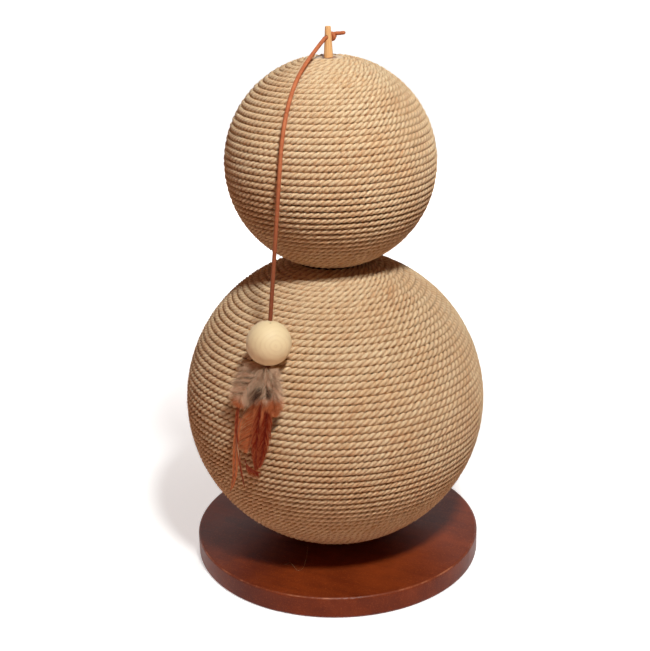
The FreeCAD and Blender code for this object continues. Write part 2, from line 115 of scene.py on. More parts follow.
class Socket:
    """A node's output, with the operators that shader maths needs."""

    __add__, __radd__ = math_method("ADD"), math_method("ADD", swapped=True)
    __sub__, __rsub__ = math_method("SUBTRACT"), math_method("SUBTRACT", swapped=True)
    __mul__, __rmul__ = math_method("MULTIPLY"), math_method("MULTIPLY", swapped=True)
    __pow__, __rpow__ = math_method("POWER"), math_method("POWER", swapped=True)
    sine, cosine = math_method("SINE"), math_method("COSINE")
    floor, root = math_method("FLOOR"), math_method("SQRT")
    larger = math_method("MAXIMUM")

    def __init__(self, graph: "Graph", output: bpy.types.NodeSocket) -> None:
        """Keep the output and the graph that it belongs to."""
        self.graph = graph
        self.output = output

    def span(self, other: "Socket") -> "Socket":
        """Return the length of two values at a right angle to each other."""
        return (self * self + other * other).root()

    def between(self, low: float, high: float) -> "Socket":
        """Return 0 below a low value, 1 above a high one and a smooth step between.

        Args:
            low: Where the step starts.
            high: Where the step ends.

        Returns:
            The step, from 0 to 1.
        """
        settings = {"interpolation_type": "SMOOTHSTEP"}
        sockets = {"Value": self, "From Min": low, "From Max": high, "To Min": 0.0, "To Max": 1.0}
        return self.graph.result(self.graph.node("ShaderNodeMapRange", settings, sockets))


class Graph:
    """The nodes of one material or of the world."""

    def __init__(self, owner: Union[bpy.types.Material, bpy.types.World]) -> None:
        """Start with no nodes.

        Args:
            owner: The material or the world that has them.
        """
        self.owner = owner
        self.owner.use_nodes = True
        self.tree = owner.node_tree
        self.tree.nodes.clear()

    @classmethod
    def material(cls, name: str) -> "Graph":
        """Return the empty graph of a new material."""
        return cls(bpy.data.materials.new(name))

    def node(self, kind: str, settings: Optional[Dict[str, Any]] = None,
             sockets: Optional[Dict[Union[int, str], Input]] = None) -> bpy.types.Node:
        """Add a node, set it up and feed it.

        Args:
            kind: The node's type.
            settings: Its own settings, such as a Math node's operation.
            sockets: Values or links for its inputs, by name or number.

        Returns:
            The node.
        """
        node = self.tree.nodes.new(kind)
        for key, value in (settings or {}).items():
            setattr(node, key, value)
        for key, value in (sockets or {}).items():
            if isinstance(value, Socket):
                self.tree.links.new(value.output, node.inputs[key])
            else:
                node.inputs[key].default_value = value
        return node

    def result(self, node: bpy.types.Node, output: Union[int, str] = 0) -> Socket:
        """Return one of a node's outputs, ready for maths."""
        return Socket(self, node.outputs[output])

    def place(self) -> Socket:
        """Return the piece's own coordinates, in metres."""
        return self.result(self.node("ShaderNodeTexCoord"), "Object")

    def attribute(self, name: str) -> Socket:
        """Return a number that the piece's mesh carries."""
        return self.result(self.node("ShaderNodeAttribute", {"attribute_name": name}), "Fac")

    def split(self, vector: Socket) -> Tuple[Socket, Socket, Socket]:
        """Return the three parts of a vector."""
        node = self.node("ShaderNodeSeparateXYZ", sockets={0: vector})
        return self.result(node, 0), self.result(node, 1), self.result(node, 2)

    def vector(self, x: Input, y: Input, z: Input = 0.0) -> Socket:
        """Return a vector made of three numbers."""
        return self.result(self.node("ShaderNodeCombineXYZ", sockets={0: x, 1: y, 2: z}))

    def stretched(self, parts: Sequence[Socket], paces: Point) -> Socket:
        """Return a vector of three numbers that each change at a pace of their own."""
        return self.vector(*(part * pace for part, pace in zip(parts, paces)))

    def distance(self, vector: Socket, spot: Point) -> Socket:
        """Return how far coordinates are from a spot."""
        node = self.node("ShaderNodeVectorMath", {"operation": "DISTANCE"}, {0: vector, 1: spot})
        return self.result(node, "Value")

    def mapped(self, vector: Socket, move: Point = (0, 0, 0), turn: Point = (0, 0, 0),
               scale: Point = (1, 1, 1)) -> Socket:
        """Centre, turn and stretch a pattern.

        Args:
            vector: The coordinates.
            move: What is added to them, after the turn and the stretch.
            turn: Their turn in radians.
            scale: Their stretch.

        Returns:
            The new coordinates.
        """
        sockets = {"Vector": vector, "Location": move, "Rotation": turn, "Scale": scale}
        return self.result(self.node("ShaderNodeMapping", sockets=sockets))

    def grain(self, vector: Socket, scale: float = 1.0, detail: float = 2.0, roughness: float = 0.5,
              distortion: float = 0.0) -> Socket:
        """Make soft noise.

        Args:
            vector: The coordinates.
            scale: Features for each unit of length.
            detail: How many finer layers there are.
            roughness: How strong these are.
            distortion: How much it swirls.

        Returns:
            The noise, from 0 to 1.
        """
        sockets = {"Vector": vector, "Scale": scale, "Detail": detail, "Roughness": roughness,
                   "Distortion": distortion}
        return self.result(self.node("ShaderNodeTexNoise", sockets=sockets), "Fac")

    def blend(self, share: Input, first: Union[Socket, Colour], second: Union[Socket, Colour]) -> Socket:
        """Return a colour that goes from the first to the second as the share goes from 0 to 1."""
        node = self.node("ShaderNodeMix", {"data_type": "RGBA"}, {0: share, 6: first, 7: second})
        return self.result(node, 2)

    def surface(self, colour: Socket, roughness: Input, specular: float = 0.5,
                height: Optional[Socket] = None, depth: float = 0.0,
                constants: Optional[Dict[str, Any]] = None) -> bpy.types.Material:
        """Finish the material with a Principled shader.

        Args:
            colour: The base colour.
            roughness: The roughness.
            specular: The specular level, the same all over.
            height: What raises the surface, from 0 to 1.
            depth: How far, in metres.
            constants: Other values of the shader, the same all over.

        Returns:
            The material.
        """
        sockets: Dict[Union[int, str], Input] = {
            "Base Color": colour, "Roughness": roughness, "Specular IOR Level": specular}
        if height is not None:
            relief = {"Strength": 1.0, "Distance": depth, "Height": height}
            sockets["Normal"] = self.result(self.node("ShaderNodeBump", sockets=relief))
        sockets.update(constants or {})
        shader = self.node("ShaderNodeBsdfPrincipled", sockets=sockets)
        self.node("ShaderNodeOutputMaterial", sockets={"Surface": self.result(shader)})
        return self.owner


# Finishes, whose relief is the depth of their bump


@dataclass(frozen=True)
class SisalFinish:
    """Twisted sisal: pale fibres along the rope, with painted shade in the grooves between its strands.

    The lays are the turns that a strand makes in a metre of rope. Paces say how fast a pattern changes along
    the rope, across it and from strand to strand.
    """

    name: str = "sisal_rope"
    pale: Colour = shade(250, 228, 190)
    tan: Colour = shade(222, 173, 123)
    russet: Colour = shade(206, 138, 88)
    # The colour of the painted shade in the grooves.
    dark: Colour = shade(168, 106, 64)
    strands: int = 3
    lays: float = 80.0
    fibre_paces: Point = (330.0, 38.0, 7.3)
    bundle_paces: Point = (190.0, 15.0, 3.1)
    streak_paces: Point = (42.0, 5.0, 5.7)
    relief: float = 0.75 * MM

    def material(self) -> bpy.types.Material:
        """Make the rope's material, which reads metres along and shares around from its UV map.

        Returns:
            The material.
        """
        graph = Graph.material(self.name)
        lay = graph.result(graph.node("ShaderNodeUVMap", {"uv_map": LAY_MAP}))
        along, around, _ = graph.split(lay)
        strand = (around * self.strands).floor()
        level = around - along * self.lays
        laid = (along, level, strand)
        fibre = graph.grain(graph.stretched(laid, self.fibre_paces), detail=3.0, roughness=0.65)
        bundle = graph.grain(graph.stretched(laid, self.bundle_paces), roughness=0.6)
        patch = graph.grain(graph.place(), scale=38.0, detail=3.0, roughness=0.55)
        streak = graph.grain(graph.stretched((along, around, strand), self.streak_paces), detail=1.0)
        # Painted shade: the colour darkens towards the dark tone in the grooves between the strands.
        groove_shade = ((around * (TURN * self.strands)).cosine() * 0.5 + 0.5) ** 2.5
        light = (fibre * 0.8 + bundle * 0.8 + patch * 0.3).between(0.68, 1.2)
        body = graph.blend(light, self.tan, self.pale)
        warm = graph.blend(streak.between(0.58, 0.78) * 0.5, body, self.russet)
        colour = graph.blend(groove_shade * 0.6, warm, self.dark)
        return graph.surface(colour, roughness=0.9 - light * 0.1, specular=0.12,
                             height=fibre * 0.6 + bundle * 0.5, depth=self.relief,
                             constants={"Sheen Weight": 0.08, "Sheen Roughness": 0.5})


@dataclass(frozen=True)
class StrayFibreFinish:
    """Single sisal hairs."""

    name: str = "sisal_hair"
    pale: Colour = shade(246, 226, 190)
    tan: Colour = shade(214, 172, 128)

    def material(self) -> bpy.types.Material:
        """Make the hairs' material.

        Returns:
            The material.
        """
        graph = Graph.material(self.name)
        tone = graph.grain(graph.place(), scale=160.0)
        colour = graph.blend(tone.between(0.35, 0.65), self.tan, self.pale)
        return graph.surface(colour, roughness=0.6 + tone * 0.2, specular=0.3)


@dataclass(frozen=True)
class StainFinish:
    """Mahogany stain under satin lacquer: mottled, finely speckled, with hardly any grain, light at the
    edge.

    The light band at the edge is partly wear and partly a painted highlight. It is full within the first of
    two distances from the edge, and gone beyond the second.
    """

    name: str = "stained_board"
    deep: Colour = shade(94, 32, 9)
    warm: Colour = shade(138, 58, 22)
    speckle: Colour = shade(166, 82, 40)
    # The colour of the edge's band, which is partly wear and partly a painted highlight.
    worn: Colour = shade(214, 138, 100)
    grain_turn: float = 0.42
    edge_radius: float = 97.03 * MM
    edge_height: float = 14.53 * MM
    wear: Pair = (0.15 * MM, 0.75 * MM)
    relief: float = 0.05 * MM

    def material(self) -> bpy.types.Material:
        """Make the board's material.

        Returns:
            The material.
        """
        graph = Graph.material(self.name)
        place = graph.place()
        cloud = graph.grain(place, scale=24.0, detail=3.0, roughness=0.55)
        run = graph.mapped(place, turn=(0, 0, self.grain_turn), scale=(14.0, 160.0, 60.0))
        grain = graph.grain(run, detail=3.0, roughness=0.6, distortion=0.4)
        speck = graph.grain(place, scale=1100.0, roughness=0.6)
        tone = (cloud * 0.7 + grain * 0.3 + speck * 0.2).between(0.4, 0.85)
        stained = graph.blend(tone, self.deep, self.warm)
        flecked = graph.blend(speck.between(0.56, 0.72) * 0.4, stained, self.speckle)
        x, y, z = graph.split(place)
        across, above = x.span(y) - self.edge_radius, z - self.edge_height
        rub = graph.grain(place, scale=55.0, detail=4.0, roughness=0.65).between(0.45, 0.66)
        edge = 1 - across.span(above).between(*self.wear)
        # Partly wear and partly a painted highlight: the top edge is lightened in a broken band.
        colour = graph.blend(edge * (rub * 0.5 + 0.05), flecked, self.worn)
        smear = graph.grain(place, scale=34.0, detail=4.0, roughness=0.65, distortion=1.2)
        return graph.surface(colour, roughness=0.3 + smear * 0.2 + speck * 0.08, specular=0.13,
                             height=cloud * 0.3 + speck * 0.25, depth=self.relief,
                             constants={"Coat Weight": 0.11, "Coat Roughness": 0.3})


@dataclass(frozen=True)
class WoodFinish:
    """Pale turned wood: growth rings round an axis through the centre, and fine pores along it.

    It has a nick where one is given. Otherwise the nick lies off the piece.
    """

    name: str
    pale: Colour
    dark: Colour
    centre: Point
    axis: Point = (0.0, 0.0, 1.0)
    spacing: float = 1.6 * MM
    contrast: float = 0.55
    roughness: float = 0.55
    nick: Point = (0.0, 0.0, 1.0)
    nick_colour: Colour = shade(172, 148, 112)
    nick_radius: float = 0.8 * MM
    relief: float = 0.2 * MM

    def material(self) -> bpy.types.Material:
        """Make the wood's material.

        Returns:
            The material.
        """
        graph = Graph.material(self.name)
        place = graph.place()
        moved = graph.mapped(place, move=tuple(-part for part in self.centre))
        upright = graph.mapped(moved, turn=tuple(Vector(self.axis).rotation_difference(UP).to_euler()))
        x, y, _ = graph.split(upright)
        wander = graph.grain(graph.mapped(upright, scale=(60.0, 60.0, 22.0)))
        radius = x.span(y) + (wander - 0.5) * (1.8 * self.spacing)
        ring = (radius * (TURN / self.spacing)).sine() * 0.5 + 0.5
        fleck = graph.grain(graph.mapped(upright, scale=(2600.0, 2600.0, 240.0)))
        cloud = graph.grain(place, scale=90.0)
        tone = (ring ** 1.6) * self.contrast + (fleck - 0.5) * 0.4 + (cloud - 0.5) * 0.5
        wood = graph.blend(tone.between(0.0, 1.0), self.pale, self.dark)
        ragged = graph.distance(place, self.nick) + (fleck - 0.5) * (0.6 * self.nick_radius)
        dent = 1 - ragged.between(0.4 * self.nick_radius, self.nick_radius)
        colour = graph.blend(dent * 0.8, wood, self.nick_colour)
        return graph.surface(colour, roughness=self.roughness + fleck * 0.15, specular=0.35,
                             height=fleck * 0.15 + ring * 0.05 - dent, depth=self.relief,
                             constants={"Sheen Weight": 0.05})


@dataclass(frozen=True)
class LaceFinish:
    """Round leather lace: mottled orange-brown with a dry nap, with painted shade darkening it further down.
    """

    name: str = "leather_lace"
    light: Colour = shade(200, 117, 76)
    deep: Colour = shade(158, 81, 47)
    # The colour of the painted shade on the lace's lower stretch.
    lower_shade: Colour = shade(104, 47, 26)
    darkest_below: float = 0.20
    unshaded_above: float = 0.325
    relief: float = 0.06 * MM

    def material(self) -> bpy.types.Material:
        """Make the lace's material.

        Returns:
            The material.
        """
        graph = Graph.material(self.name)
        place = graph.place()
        nap = graph.grain(place, scale=2600.0, detail=3.0, roughness=0.6)
        mottle = graph.grain(place, scale=320.0, detail=3.0, roughness=0.6)
        wear = graph.grain(place, scale=60.0)
        tone = (nap * 0.4 + mottle * 0.6 + wear * 0.4).between(0.4, 0.95)
        lace_colour = graph.blend(tone, self.deep, self.light)
        # Painted shade: the lace darkens towards its lower end, by height.
        _, _, z = graph.split(place)
        lower_shading = 1 - z.between(self.darkest_below, self.unshaded_above)
        colour = graph.blend(lower_shading * 0.75, lace_colour, self.lower_shade)
        return graph.surface(colour, roughness=0.62 + nap * 0.2, specular=0.25,
                             height=nap * 0.6 + mottle * 0.4, depth=self.relief)


@dataclass(frozen=True)
class GlueFinish:
    """Dried glue: brown near the peg, partly its own colour and partly painted shade of the hollow there, a
    thin whitish film further out.
    """

    name: str = "dried_glue"
    # Brown near the peg: partly the glue's own colour, partly painted shade of the hollow at the peg's foot.
    clear: Colour = shade(140, 86, 50)
    milky: Colour = shade(220, 190, 154)
    relief: float = 0.15 * MM

    def material(self) -> bpy.types.Material:
        """Make the glue's material.

        Returns:
            The material.
        """
        graph = Graph.material(self.name)
        place = graph.place()
        x, y, _ = graph.split(place)
        cloud = graph.grain(place, scale=380.0)
        fine = graph.grain(place, scale=1500.0)
        # Painted shade: the glue turns brown towards the peg, in the hollow at its foot.
        film = (x.span(y) * 150.0 + (cloud - 0.5) * 1.4).between(0.55, 1.05)
        colour = graph.blend(film, self.clear, self.milky)
        return graph.surface(colour, roughness=0.24 + fine * 0.25, specular=0.3,
                             height=cloud * 0.7 + fine * 0.3, depth=self.relief)


@dataclass(frozen=True)
class FoamFinish:
    """Moulded foam, made dark brown as painted shade for the gaps between the rope's rows: small swollen
    beads pressed together.
    """

    name: str = "moulded_foam"
    # Dark on purpose: painted shade where the foam shows between the rope's rows.
    light: Colour = shade(108, 74, 48)
    shadow: Colour = shade(66, 42, 26)
    relief: float = 0.4 * MM

    def material(self) -> bpy.types.Material:
        """Make the foam's material.

        Returns:
            The material.
        """
        graph = Graph.material(self.name)
        place = graph.place()
        beads = graph.node("ShaderNodeTexVoronoi", sockets={"Vector": place, "Scale": 320.0})
        cells = graph.result(beads, "Distance")
        cloud = graph.grain(place, scale=60.0)
        colour = graph.blend((cells * 0.9 + cloud * 0.3).between(0.2, 0.8), self.light, self.shadow)
        return graph.surface(colour, roughness=0.8 + cells * 0.1, specular=0.2, height=1 - cells,
                             depth=self.relief)


@dataclass(frozen=True)
class SteelFinish:
    """Zinc-plated steel with turning marks and dull patches."""

    name: str = "zinc_steel"
    bright: Colour = shade(206, 207, 204)
    dull: Colour = shade(150, 150, 148)
    relief: float = 0.03 * MM

    def material(self) -> bpy.types.Material:
        """Make the steel's material.

        Returns:
            The material.
        """
        graph = Graph.material(self.name)
        place = graph.place()
        x, y, _ = graph.split(place)
        marks = graph.grain(graph.vector(x.span(y) * 5200, 0.0))
        patch = graph.grain(place, scale=380.0, detail=3.0, roughness=0.6)
        colour = graph.blend((marks * 0.4 + patch * 0.6).between(0.3, 0.7), self.bright, self.dull)
        return graph.surface(colour, roughness=0.26 + patch * 0.25, height=marks, depth=self.relief,
                             constants={"Metallic": 1.0})


@dataclass(frozen=True)
class PlumageFinish:
    """Barbs and down, grey or dyed rust, from light to deep as the mesh says barb by barb."""

    name: str = "plumage"
    pale_grey: Colour = shade(244, 212, 180)
    dark_grey: Colour = shade(52, 37, 28)
    orange: Colour = shade(218, 130, 84)
    oxblood: Colour = shade(124, 23, 2)

    def material(self) -> bpy.types.Material:
        """Make the plumage's material.

        Returns:
            The material.
        """
        graph = Graph.material(self.name)
        mottle = graph.grain(graph.place(), scale=420.0)
        deep = (graph.attribute("deep") + (mottle - 0.5) * 0.3).between(0.0, 1.0)
        grey = graph.blend(deep, self.pale_grey, self.dark_grey)
        rust = graph.blend(deep, self.orange, self.oxblood)
        colour = graph.blend(graph.attribute("dye").between(0.0, 1.0), grey, rust)
        return graph.surface(colour, roughness=0.45 + mottle * 0.25, specular=0.1)


@dataclass(frozen=True)
class QuillFinish:
    """Feather shafts, from cream to dark red as the mesh says."""

    name: str = "quill"
    cream: Colour = shade(236, 210, 166)
    red: Colour = shade(118, 30, 10)

    def material(self) -> bpy.types.Material:
        """Make the shafts' material.

        Returns:
            The material.
        """
        graph = Graph.material(self.name)
        tone = graph.grain(graph.place(), scale=600.0)
        deep = (graph.attribute("deep") + (tone - 0.5) * 0.3).between(0.0, 1.0)
        colour = graph.blend(deep, self.cream, self.red)
        return graph.surface(colour, roughness=0.4 + tone * 0.15, specular=0.15)


# Mesh helpers


class Twist(Enum):
    """How a swept section keeps its turn along a line."""

    LEAST = "MINIMUM"
    UPRIGHT = "Z_UP"


def step(value: float, low: float, high: float) -> float:
    """Return 0 below a low value, 1 above a high one and a smooth step between."""
    share = min(1.0, max(0.0, (value - low) / (high - low)))
    return share * share * (3 - 2 * share)


def linked(name: str, data: bpy.types.ID) -> bpy.types.Object:
    """Put new data into the scene.

    Args:
        name: The object's name.
        data: Its mesh, curve, lamp or camera.

    Returns:
        The object, at the origin.
    """
    piece = bpy.data.objects.new(name, data)
    bpy.context.scene.collection.objects.link(piece)
    return piece


def finished(name: str, shape: bmesh.types.BMesh) -> bpy.types.Object:
    """Turn a bmesh into a piece.

    Args:
        name: The piece's name.
        shape: The bmesh, which is freed.

    Returns:
        The piece.
    """
    mesh = bpy.data.meshes.new(name)
    shape.to_mesh(mesh)
    shape.free()
    return linked(name, mesh)


def as_mesh(holder: bpy.types.Object) -> bpy.types.Object:
    """Turn a curve, or a mesh with modifiers, into a plain mesh piece of the same name.

    Args:
        holder: What it is made from, which is removed.

    Returns:
        The mesh piece.
    """
    name = holder.name
    bpy.context.view_layer.update()
    graph = bpy.context.evaluated_depsgraph_get()
    mesh = bpy.data.meshes.new_from_object(holder.evaluated_get(graph))
    bpy.data.objects.remove(holder)
    mesh.name = name
    return linked(name, mesh)


def dressed(piece: bpy.types.Object, material: bpy.types.Material) -> bpy.types.Object:
    """Give a piece its finish.

    Args:
        piece: The piece.
        material: Its material.

    Returns:
        The piece.
    """
    piece.data.materials.clear()
    piece.data.materials.append(material)
    return piece


def turned(name: str, profile: Sequence[Pair], steps: int, closed: bool) -> bpy.types.Object:
    """Turn a profile about the upright axis, as on a lathe.

    Args:
        name: The piece's name.
        profile: Radii and heights in millimetres.
        steps: How many steps a full turn has.
        closed: Whether the profile's last point joins its first.

    Returns:
        The piece.
    """
    shape = bmesh.new()
    verts = [shape.verts.new((radius * MM, 0.0, height * MM)) for radius, height in profile]
    pairs = list(zip(verts, verts[1:])) + ([(verts[-1], verts[0])] if closed else [])
    edges = [shape.edges.new(pair) for pair in pairs]
    bmesh.ops.spin(shape, geom=verts + edges, cent=(0, 0, 0), axis=UP, angle=TURN, steps=steps,
                   use_merge=True)
    bmesh.ops.remove_doubles(shape, verts=shape.verts, dist=LATHE_SEAM)
    bmesh.ops.recalc_face_normals(shape, faces=shape.faces)
    return finished(name, shape)


def outline(points: Sequence[Pair]) -> bpy.types.Object:
    """Make a section for a sweep.

    Args:
        points: Its corners.

    Returns:
        A closed flat curve.
    """
    curve = bpy.data.curves.new("section", "CURVE")
    curve.dimensions = "2D"
    spline = curve.splines.new("POLY")
    spline.points.add(len(points) - 1)
    spline.use_cyclic_u = True
    for knot, (x, y) in zip(spline.points, points):
        knot.co = (x, y, 0.0, 1.0)
    return linked("section", curve)


def round_outline(sides: int) -> bpy.types.Object:
    """Return a round section of radius 1."""
    turns = [TURN * side / sides for side in range(sides)]
    return outline([(math.cos(turn), math.sin(turn)) for turn in turns])


def smooth_line(route: Sequence[Point]) -> List[Vector]:
    """Follow a route smoothly.

    Args:
        route: The control points.

    Returns:
        Points of the NURBS spline that they control.
    """
    curve = bpy.data.curves.new("route", "CURVE")
    curve.dimensions = "3D"
    spline = curve.splines.new("NURBS")
    spline.points.add(len(route) - 1)
    for knot, place in zip(spline.points, route):
        knot.co = (*place, 1.0)
    spline.order_u = 3
    spline.use_endpoint_u = True
    spline.resolution_u = 16
    path = as_mesh(linked("route", curve))
    points = [vertex.co.copy() for vertex in path.data.vertices]
    bpy.data.objects.remove(path)
    return points


@dataclass
class Line:
    """One line of a sweep: its points, with the section's size and turn and other marks at each of them."""

    points: List[Vector]
    sizes: List[float]
    tilts: List[float] = field(default_factory=list)
    closed: bool = False
    marks: Dict[str, List[float]] = field(default_factory=dict)

    def length(self) -> float:
        """Return how long the line is, in metres."""
        return sum((after - before).length for before, after in zip(self.points, self.points[1:]))


def lay_in_metres(piece: bpy.types.Object, length: float) -> None:
    """Name a sweep's UV map and stretch it along the line.

    Args:
        piece: The swept piece, whose map has shares along and around.
        length: The line's length, which turns the shares along into metres.
    """
    lay = piece.data.uv_layers[0]
    lay.name = LAY_MAP
    shares = [0.0] * (2 * len(lay.data))
    lay.data.foreach_get("uv", shares)
    shares[0::2] = [share * length for share in shares[0::2]]
    lay.data.foreach_set("uv", shares)


def carry_marks(piece: bpy.types.Object, lines: Sequence[Line], sides: int) -> None:
    """Give a sweep its lines' marks as attributes.

    Args:
        piece: The swept piece; its caps come first, from the last line to the first, then its rings.
        lines: The lines.
        sides: How many points a cap or ring has.
    """
    for mark in lines[0].marks:
        caps = [line.marks[mark][end] for line in reversed(lines) for end in (-1, 0)]
        rings = [value for line in lines for value in line.marks[mark]]
        values = [value for value in caps + rings for _ in range(sides)]
        piece.data.attributes.new(mark, "FLOAT", "POINT").data.foreach_set("value", values)


def sweep(name: str, lines: Sequence[Line], section: bpy.types.Object,
          twist: Twist = Twist.LEAST) -> bpy.types.Object:
    """Sweep a section along lines.

    Args:
        name: The piece's name.
        lines: The lines, all with the same marks.
        section: A closed flat curve of radius about 1, which is removed.
        twist: How the section keeps its turn.

    Returns:
        The mesh piece, with a UV map of metres along the first line and shares around the section, and the
        lines' marks as attributes.
    """
    curve = bpy.data.curves.new(name, "CURVE")
    curve.dimensions = "3D"
    curve.twist_mode = twist.value
    for line in lines:
        spline = curve.splines.new("POLY")
        spline.points.add(len(line.points) - 1)
        spline.points.foreach_set("co", [part for point in line.points for part in (*point, 1.0)])
        spline.points.foreach_set("radius", line.sizes)
        if line.tilts:
            spline.points.foreach_set("tilt", line.tilts)
        spline.use_cyclic_u = line.closed
        spline.use_smooth = True
    curve.bevel_mode = "OBJECT"
    curve.bevel_object = section
    curve.use_fill_caps = True
    piece = as_mesh(linked(name, curve))
    lay_in_metres(piece, lines[0].length())
    carry_marks(piece, lines, len(section.data.splines[0].points))
    bpy.data.objects.remove(section)
    shape = bmesh.new()
    shape.from_mesh(piece.data)
    bmesh.ops.remove_doubles(shape, verts=shape.verts, dist=SWEEP_SEAM)
    shape.to_mesh(piece.data)
    shape.free()
    return piece


def lumpy(piece: bpy.types.Object, size: float, depth: float) -> bpy.types.Object:
    """Raise and sink a piece's surface in soft lumps.

    Args:
        piece: The piece, which is removed.
        size: How wide the lumps are.
        depth: How far apart their tops and hollows are.

    Returns:
        The lumpy piece.
    """
    clouds = bpy.data.textures.new("lumps", "CLOUDS")
    clouds.noise_scale = size
    clouds.noise_depth = 1
    push = piece.modifiers.new("lumps", "DISPLACE")
    push.texture = clouds
    push.texture_coords = "LOCAL"
    push.strength = depth
    push.mid_level = 0.5
    return as_mesh(piece)


# Sub-assemblies


@dataclass(frozen=True)
class Lamp:
    """A soft round lamp.

    Its side is in degrees to the right of the camera and its elevation in degrees above the floor. Its
    distance from the object and its diameter are in metres, and its power is in watts.
    """

    name: str
    side: float
    elevation: float
    distance: float
    diameter: float
    power: float
    tint: Point
    glossy: bool = True


@dataclass
class Studio:
    """Camera, lights, floor and white background.

    A key lamp stands above right, a weak fill at the left and a low lamp behind, which gives no gloss.
    The floor turns white between two distances from the object.
    """

    distance: float = 750.0 * MM
    height: float = 440.07 * MM
    azimuth: float = 25.5
    pitch: float = 20.33
    yaw: float = -0.44
    roll: float = -1.27
    focal_pixels: float = 1206.54
    width_pixels: float = 650.0
    sensor: float = 36.0
    clip_start: float = 10.0 * MM
    target: Point = (0.0, 0.0, 0.17)
    lamps: Tuple[Lamp, ...] = (
        Lamp("key", side=17.0, elevation=53.0, distance=0.85, diameter=0.11, power=6.7,
             tint=(0.95, 1.0, 0.98)),
        Lamp("fill", side=-60.0, elevation=25.0, distance=1.4, diameter=1.0, power=0.8,
             tint=(1.0, 0.34, 0.15)),
        Lamp("back", side=180.0, elevation=4.0, distance=1.2, diameter=0.4, power=4.0,
             tint=(1.0, 0.90, 0.80), glossy=False),
    )
    floor_size: float = 6.0
    floor_dark: Colour = (0.90, 0.90, 0.90, 1.0)
    floor_light: Colour = (0.94, 0.94, 0.94, 1.0)
    floor_glow: Colour = (0.55, 0.55, 0.55, 1.0)
    floor_bounce: Colour = (1.0, 0.72, 0.60, 1.0)
    floor_whitens: Pair = (0.10, 0.45)
    white: Colour = (1.0, 1.0, 1.0, 1.0)
    world_tint: Colour = (1.0, 0.48, 0.32, 1.0)
    world_strength: float = 0.075

    def camera(self) -> None:
        """Set the camera at the photograph's place."""
        turn, pitch, roll = (math.radians(part) for part in (self.azimuth - self.yaw, self.pitch, self.roll))
        swing, level = math.radians(self.azimuth), math.cos(pitch)
        right = Vector((math.cos(turn), math.sin(turn), 0.0))
        ahead = Vector((-math.sin(turn) * level, math.cos(turn) * level, -math.sin(pitch)))
        up = right.cross(ahead)
        across = right * math.cos(roll) + up * math.sin(roll)
        above = up * math.cos(roll) - right * math.sin(roll)
        data = bpy.data.cameras.new("camera")
        data.sensor_fit = "HORIZONTAL"
        data.sensor_width = self.sensor
        data.lens = self.sensor * self.focal_pixels / self.width_pixels
        data.clip_start = self.clip_start
        camera = linked("camera", data)
        facing = Matrix((across, above, -ahead)).transposed().to_4x4()
        spot = Vector((self.distance * math.sin(swing), -self.distance * math.cos(swing), self.height))
        camera.matrix_world = Matrix.Translation(spot) @ facing
        bpy.context.scene.camera = camera

    def lights(self) -> None:
        """Add the lamps, all pointing at the object."""
        for lamp in self.lamps:
            data = bpy.data.lights.new(lamp.name, "AREA")
            data.shape = "DISK"
            data.size = lamp.diameter
            data.energy = lamp.power
            data.color = lamp.tint
            turn, rise = math.radians(self.azimuth + lamp.side), math.radians(lamp.elevation)
            level = math.cos(rise)
            out = Vector((math.sin(turn) * level, -math.cos(turn) * level, math.sin(rise)))
            facing = out.to_track_quat("Z", "Y").to_matrix().to_4x4()
            holder = linked(lamp.name, data)
            holder.matrix_world = Matrix.Translation(Vector(self.target) + out * lamp.distance) @ facing
            holder.visible_glossy = lamp.glossy

    def seen_or_lit(self, graph: Graph, lit: bpy.types.Node, seen: bpy.types.Node) -> Socket:
        """Choose between two shaders by what a ray is for.

        Args:
            graph: The graph that holds them.
            lit: The shader that lights the object.
            seen: The shader that the camera sees, straight or in gloss or through glass.

        Returns:
            The chosen shader.
        """
        path = graph.node("ShaderNodeLightPath")
        straight, gloss, through = (graph.result(path, f"Is {kind} Ray")
                                    for kind in ("Camera", "Glossy", "Transmission"))
        share = straight.larger(gloss.larger(through))
        sockets = {0: share, 1: graph.result(lit), 2: graph.result(seen)}
        return graph.result(graph.node("ShaderNodeMixShader", sockets=sockets))

    def floor(self) -> None:
        """Lay the pale floor, which keeps the object's shadow and turns white further out."""
        shape = bmesh.new()
        bmesh.ops.create_grid(shape, x_segments=1, y_segments=1, size=self.floor_size)
        floor = finished("floor", shape)
        graph = Graph.material("pale_floor")
        place = graph.place()
        colour = graph.blend(graph.grain(place, scale=3.0), self.floor_dark, self.floor_light)
        outwards = graph.distance(place, (0.0, 0.0, 0.0)).between(*self.floor_whitens)
        glow = graph.blend(outwards, self.floor_glow, self.white)
        seen = graph.node("ShaderNodeBsdfPrincipled", sockets={
            "Base Color": colour, "Roughness": 0.9, "Emission Color": glow, "Emission Strength": 1.0})
        lit = graph.node("ShaderNodeBsdfDiffuse", sockets={"Color": self.floor_bounce})
        graph.node("ShaderNodeOutputMaterial", sockets={"Surface": self.seen_or_lit(graph, lit, seen)})
        floor.data.materials.append(graph.owner)

    def background(self) -> None:
        """Make the background white, and the light that it gives weak and warm."""
        world = bpy.data.worlds.new("studio")
        graph = Graph(world)
        lit, seen = (graph.node("ShaderNodeBackground", sockets={"Color": colour, "Strength": strength})
                     for colour, strength in ((self.world_tint, self.world_strength), (self.white, 1.0)))
        graph.node("ShaderNodeOutputWorld", sockets={"Surface": self.seen_or_lit(graph, lit, seen)})
        bpy.context.scene.world = world

    def build(self) -> None:
        """Set up the whole studio."""
        bpy.context.scene.view_settings.view_transform = "Standard"
        self.camera()
        self.lights()
        self.floor()
        self.background()
        LOG.info("studio: camera, lamps, floor and background")


